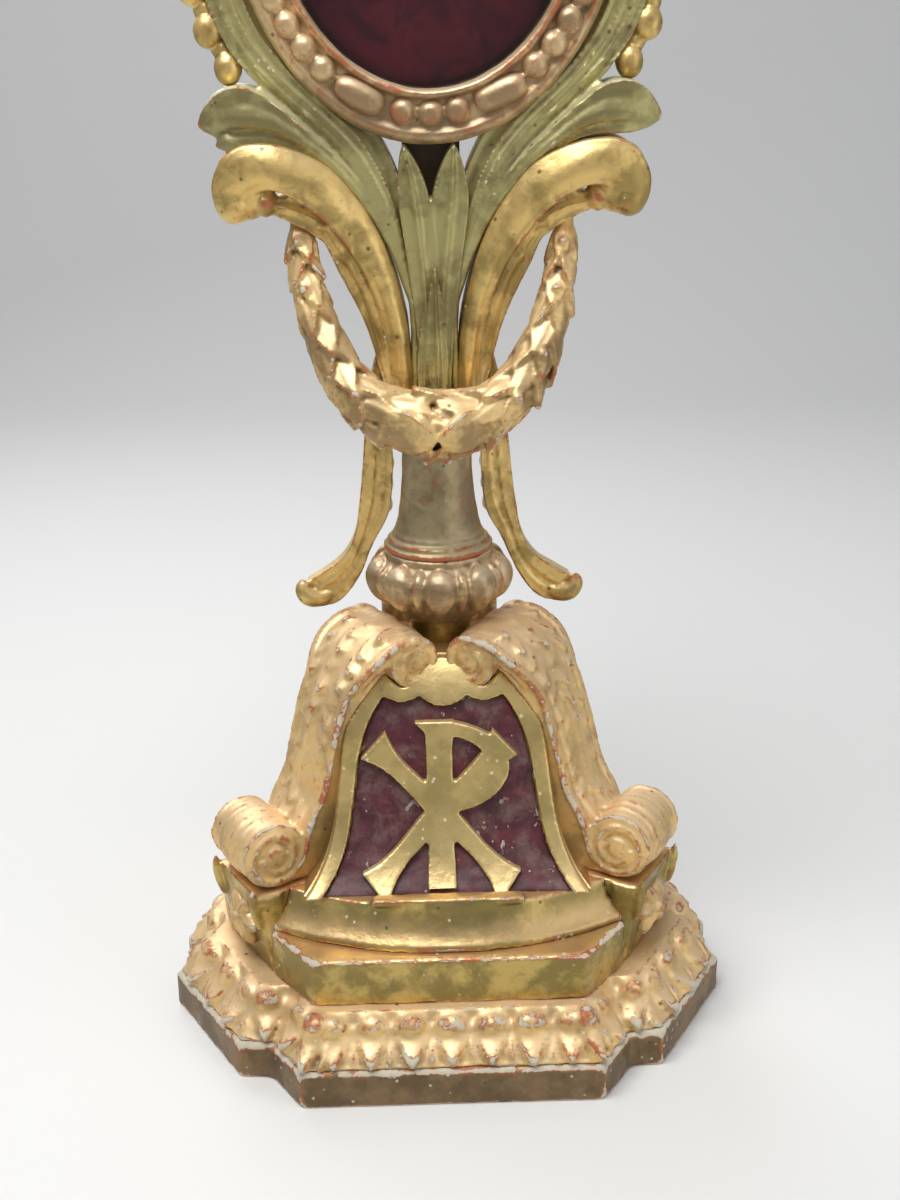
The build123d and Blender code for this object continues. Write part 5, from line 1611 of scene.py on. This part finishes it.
# ------------------------------------------------------------------ crest
def build_crest():
    """Palmette on the head of the frame: a ribbed middle leaf between two pairs of curls."""
    low, high = span("crest")
    top, half = high[2], (high[0] - low[0]) / 2
    seat = FRAME_Z + OVAL[1]
    rise = top - seat
    block = Block()
    block.add(*pointed_leaf(rail([(0, seat - 6), (0, seat + 0.35 * rise), (0, seat + 0.7 * rise),
                                  (0, top - 0.4)], 40),
                            9.6, lambda t: 10.5 + 1.5 * math.sin(math.pi * t), 5.6, 1.5, 0.46, 13))
    for side in (-1, 1):
        for points, width, depth in (
                ([(0.10, -0.10), (0.22, 0.22), (0.30, 0.44), (0.48, 0.60), (0.66, 0.61)], 5.6, 9.4),
                ([(0.30, -0.12), (0.44, 0.10), (0.58, 0.26), (0.80, 0.32), (0.96, 0.22)], 6.6, 9.0),
                ([(0.62, -0.16), (0.74, -0.02), (0.86, 0.06), (0.95, 0.05)], 4.4, 8.4)):
            line = rail([(side * x * half, seat + z * rise) for x, z in points], 36)
            block.add(*pointed_leaf(line, width, lambda t, d=depth: d - 1.0 + 2.4 * t, 5.6, 1.2, 0.60))
            x, z = points[-1]
            block.add(*ball((side * (x - 0.04) * half, -depth + 1.0, seat + (z - 0.02) * rise),
                            (3.6, 4.0, 3.4)))
    block.add(*prism([(-0.80 * half, seat - 0.16 * rise + 3), (0.80 * half, seat - 0.16 * rise + 3),
                      (0.55 * half, seat + 0.12 * rise), (-0.55 * half, seat + 0.12 * rise)], -6.6, 5.6))
    block.add(*ball((0, -10.0, seat + 4), (5.4, 5.0, 5.0)))
    carve("crest_carved", block, leaf_gold(), ["crest"], cut=0.75, ease=2, dents=0.14, chips=0.5)


# ------------------------------------------------------------------ stage
CAMERA_AT = (-7.53, -592.14, 377.76)
CAMERA_PAN, CAMERA_PITCH, CAMERA_ROLL = 1.10, 20.65, -1.03
CAMERA_LENS = 50.64


def soft_box(name, at, aim, size, power, tint):
    """Rectangular studio lamp pointed at a place, all in millimetres."""
    lamp = bpy.data.lights.new(name, "AREA")
    lamp.shape = "RECTANGLE"
    lamp.size, lamp.size_y = size[0] * MM, size[1] * MM
    lamp.energy = power
    lamp.color = tint
    stand = bpy.data.objects.new(name, lamp)
    stand.location = Vector(at) * MM
    stand.rotation_mode = "QUATERNION"
    stand.rotation_quaternion = (Vector(aim) - Vector(at)).to_track_quat("-Z", "Y")
    bpy.context.scene.collection.objects.link(stand)


def build_stage():
    """Pale floor and backdrop, soft lamps, plain world and the camera."""
    p = Paint("pale floor")
    tone = p.noise(180, 3)
    base = p.mix(p.math("MULTIPLY", tone, 0.04), colour("floor"), (0.70, 0.70, 0.70, 1.0))
    p.set(Base_Color=base, Roughness=0.75)
    floor = bpy.data.meshes.new("floor")
    reach, rise, depth = 2.6, 2.2, 0.9
    side = [(-reach, 0.0)] + [(depth + 0.5 * math.sin(a), 0.5 - 0.5 * math.cos(a))
                              for a in np.linspace(0, math.pi / 2, 14)] + [(depth + 0.5, rise)]
    points = [(x, y, z) for y, z in side for x in (-reach, reach)]
    floor.from_pydata(points, [], [(2 * i, 2 * i + 1, 2 * i + 3, 2 * i + 2) for i in range(len(side) - 1)])
    floor.materials.append(p.finish)
    floor.shade_smooth()
    sweep = bpy.data.objects.new("studio_sweep", floor)
    bpy.context.scene.collection.objects.link(sweep)
    centre = (0, 0, 230)
    soft_box("key", (-260, -340, 1200), centre, (760, 560), 12.0, (1.0, 0.985, 0.96))
    soft_box("fill", (760, -560, 420), centre, (700, 900), 2.2, (0.97, 0.98, 1.0))
    soft_box("rim", (-300, 620, 760), centre, (500, 500), 2.6, (0.97, 0.98, 1.0))
    world = bpy.data.worlds.new("studio")
    bpy.context.scene.world = world
    world.use_nodes = True
    world.node_tree.nodes["Background"].inputs[0].default_value = (0.92, 0.95, 1.0, 1.0)
    world.node_tree.nodes["Background"].inputs[1].default_value = 0.30
    lens = bpy.data.cameras.new("camera")
    lens.lens, lens.sensor_width, lens.sensor_fit = CAMERA_LENS, 36.0, "AUTO"
    lens.clip_start, lens.clip_end = 0.01, 20.0
    camera = bpy.data.objects.new("camera", lens)
    pan, pitch, roll = (math.radians(a) for a in (CAMERA_PAN, CAMERA_PITCH, CAMERA_ROLL))
    ahead = Vector((math.sin(pan) * math.cos(pitch), math.cos(pan) * math.cos(pitch), -math.sin(pitch)))
    level = Vector((math.cos(pan), -math.sin(pan), 0))
    up = level.cross(ahead)
    right = math.cos(roll) * level + math.sin(roll) * up
    up = math.cos(roll) * up - math.sin(roll) * level
    camera.rotation_mode = "QUATERNION"
    camera.rotation_quaternion = Matrix((right, up, -ahead)).transposed().to_quaternion()
    camera.location = Vector(CAMERA_AT) * MM
    bpy.context.scene.collection.objects.link(camera)
    bpy.context.scene.camera = camera
    bpy.context.scene.view_settings.view_transform = "Standard"


# ------------------------------------------------------------------ add-on
class MONSTRANCE_OT_boards(bpy.types.Operator):
    """Foot board, leaf moulding, step board and sills."""

    bl_idname = "monstrance.boards"
    bl_label = "Boards and moulding"
    bl_options = {"REGISTER", "UNDO"}

    def execute(self, context):
        build_boards()
        return {"FINISHED"}


class MONSTRANCE_OT_pedestals(bpy.types.Operator):
    """The three corner blocks."""

    bl_idname = "monstrance.pedestals"
    bl_label = "Corner pedestals"
    bl_options = {"REGISTER", "UNDO"}

    def execute(self, context):
        build_pedestals()
        return {"FINISHED"}


class MONSTRANCE_OT_flowers(bpy.types.Operator):
    """A clustered flower on each corner block."""

    bl_idname = "monstrance.flowers"
    bl_label = "Pedestal flowers"
    bl_options = {"REGISTER", "UNDO"}

    def execute(self, context):
        build_flowers()
        return {"FINISHED"}


class MONSTRANCE_OT_scrolls(bpy.types.Operator):
    """The three leafy scroll brackets."""

    bl_idname = "monstrance.scrolls"
    bl_label = "Scroll brackets"
    bl_options = {"REGISTER", "UNDO"}

    def execute(self, context):
        build_scrolls()
        return {"FINISHED"}


class MONSTRANCE_OT_bell(bpy.types.Operator):
    """Painted panels, their surrounds and the emblem."""

    bl_idname = "monstrance.bell"
    bl_label = "Bell and emblem"
    bl_options = {"REGISTER", "UNDO"}

    def execute(self, context):
        build_bell()
        return {"FINISHED"}


class MONSTRANCE_OT_stem(bpy.types.Operator):
    """Lobed knob, column and dowel."""

    bl_idname = "monstrance.stem"
    bl_label = "Knob and column"
    bl_options = {"REGISTER", "UNDO"}

    def execute(self, context):
        build_stem()
        return {"FINISHED"}


class MONSTRANCE_OT_long_leaves(bpy.types.Operator):
    """Lance leaves, bract and the two long blades."""

    bl_idname = "monstrance.long_leaves"
    bl_label = "Green leaves"
    bl_options = {"REGISTER", "UNDO"}

    def execute(self, context):
        build_long_leaves()
        return {"FINISHED"}


class MONSTRANCE_OT_gold_leaves(bpy.types.Operator):
    """Curled leaves that carry the garland and the tails below."""

    bl_idname = "monstrance.gold_leaves"
    bl_label = "Gold leaves"
    bl_options = {"REGISTER", "UNDO"}

    def execute(self, context):
        build_gold_leaves()
        return {"FINISHED"}


class MONSTRANCE_OT_garland(bpy.types.Operator):
    """Laurel garland on its two hooks."""

    bl_idname = "monstrance.garland"
    bl_label = "Garland"
    bl_options = {"REGISTER", "UNDO"}

    def execute(self, context):
        build_garland()
        return {"FINISHED"}


class MONSTRANCE_OT_berries(bpy.types.Operator):
    """Strings of berries beside the blades."""

    bl_idname = "monstrance.berries"
    bl_label = "Berries"
    bl_options = {"REGISTER", "UNDO"}

    def execute(self, context):
        build_berries()
        return {"FINISHED"}


class MONSTRANCE_OT_oval_frame(bpy.types.Operator):
    """Oval frame and its row of beads."""

    bl_idname = "monstrance.oval_frame"
    bl_label = "Oval frame"
    bl_options = {"REGISTER", "UNDO"}

    def execute(self, context):
        build_frame()
        return {"FINISHED"}


class MONSTRANCE_OT_relic_box(bpy.types.Operator):
    """Glass, relic box, door, hinges and turn button."""

    bl_idname = "monstrance.relic_box"
    bl_label = "Glass, box and fittings"
    bl_options = {"REGISTER", "UNDO"}

    def execute(self, context):
        build_relic_box()
        return {"FINISHED"}


class MONSTRANCE_OT_velvet(bpy.types.Operator):
    """Stuffed velvet pad on the back door."""

    bl_idname = "monstrance.velvet"
    bl_label = "Velvet pad"
    bl_options = {"REGISTER", "UNDO"}

    def execute(self, context):
        build_velvet()
        return {"FINISHED"}


class MONSTRANCE_OT_crest(bpy.types.Operator):
    """Palmette on the head of the frame."""

    bl_idname = "monstrance.crest"
    bl_label = "Crest"
    bl_options = {"REGISTER", "UNDO"}

    def execute(self, context):
        build_crest()
        return {"FINISHED"}


class MONSTRANCE_OT_stage(bpy.types.Operator):
    """Floor, lamps, world and camera."""

    bl_idname = "monstrance.stage"
    bl_label = "Stage"
    bl_options = {"REGISTER", "UNDO"}

    def execute(self, context):
        build_stage()
        return {"FINISHED"}


OPERATORS = (MONSTRANCE_OT_boards, MONSTRANCE_OT_pedestals, MONSTRANCE_OT_flowers,
             MONSTRANCE_OT_scrolls, MONSTRANCE_OT_bell, MONSTRANCE_OT_stem,
             MONSTRANCE_OT_long_leaves, MONSTRANCE_OT_gold_leaves, MONSTRANCE_OT_garland,
             MONSTRANCE_OT_berries, MONSTRANCE_OT_oval_frame, MONSTRANCE_OT_relic_box,
             MONSTRANCE_OT_velvet, MONSTRANCE_OT_crest, MONSTRANCE_OT_stage)


class MONSTRANCE_PT_sidebar(bpy.types.Panel):
    """Buttons, sizes and colours of the monstrance."""

    bl_idname = "MONSTRANCE_PT_sidebar"
    bl_label = "Monstrance"
    bl_space_type = "VIEW_3D"
    bl_region_type = "UI"
    bl_category = "Monstrance"

    def draw(self, context):
        for operator in OPERATORS:
            self.layout.operator(operator.bl_idname)
        for group in (context.scene.monstrance_sizes, context.scene.monstrance_colours):
            column = self.layout.column()
            for label in group.bl_rna.properties.keys():
                if label not in ("rna_type", "name"):
                    column.prop(group, label)


GROUPS = (MonstranceSizes, MonstranceColours)


def register():
    for kind in (*GROUPS, *OPERATORS, MONSTRANCE_PT_sidebar):
        bpy.utils.register_class(kind)
    bpy.types.Scene.monstrance_sizes = bpy.props.PointerProperty(type=MonstranceSizes)
    bpy.types.Scene.monstrance_colours = bpy.props.PointerProperty(type=MonstranceColours)


def unregister():
    del bpy.types.Scene.monstrance_colours
    del bpy.types.Scene.monstrance_sizes
    for kind in (MONSTRANCE_PT_sidebar, *reversed(OPERATORS), *reversed(GROUPS)):
        bpy.utils.unregister_class(kind)


def main():
    register()
    for operator in OPERATORS:
        result = getattr(bpy.ops.monstrance, operator.bl_idname.split(".")[1])()
        if result != {"FINISHED"}:
            raise RuntimeError(operator.bl_idname + " didn't finish")


if __name__ == "__main__":
    main()
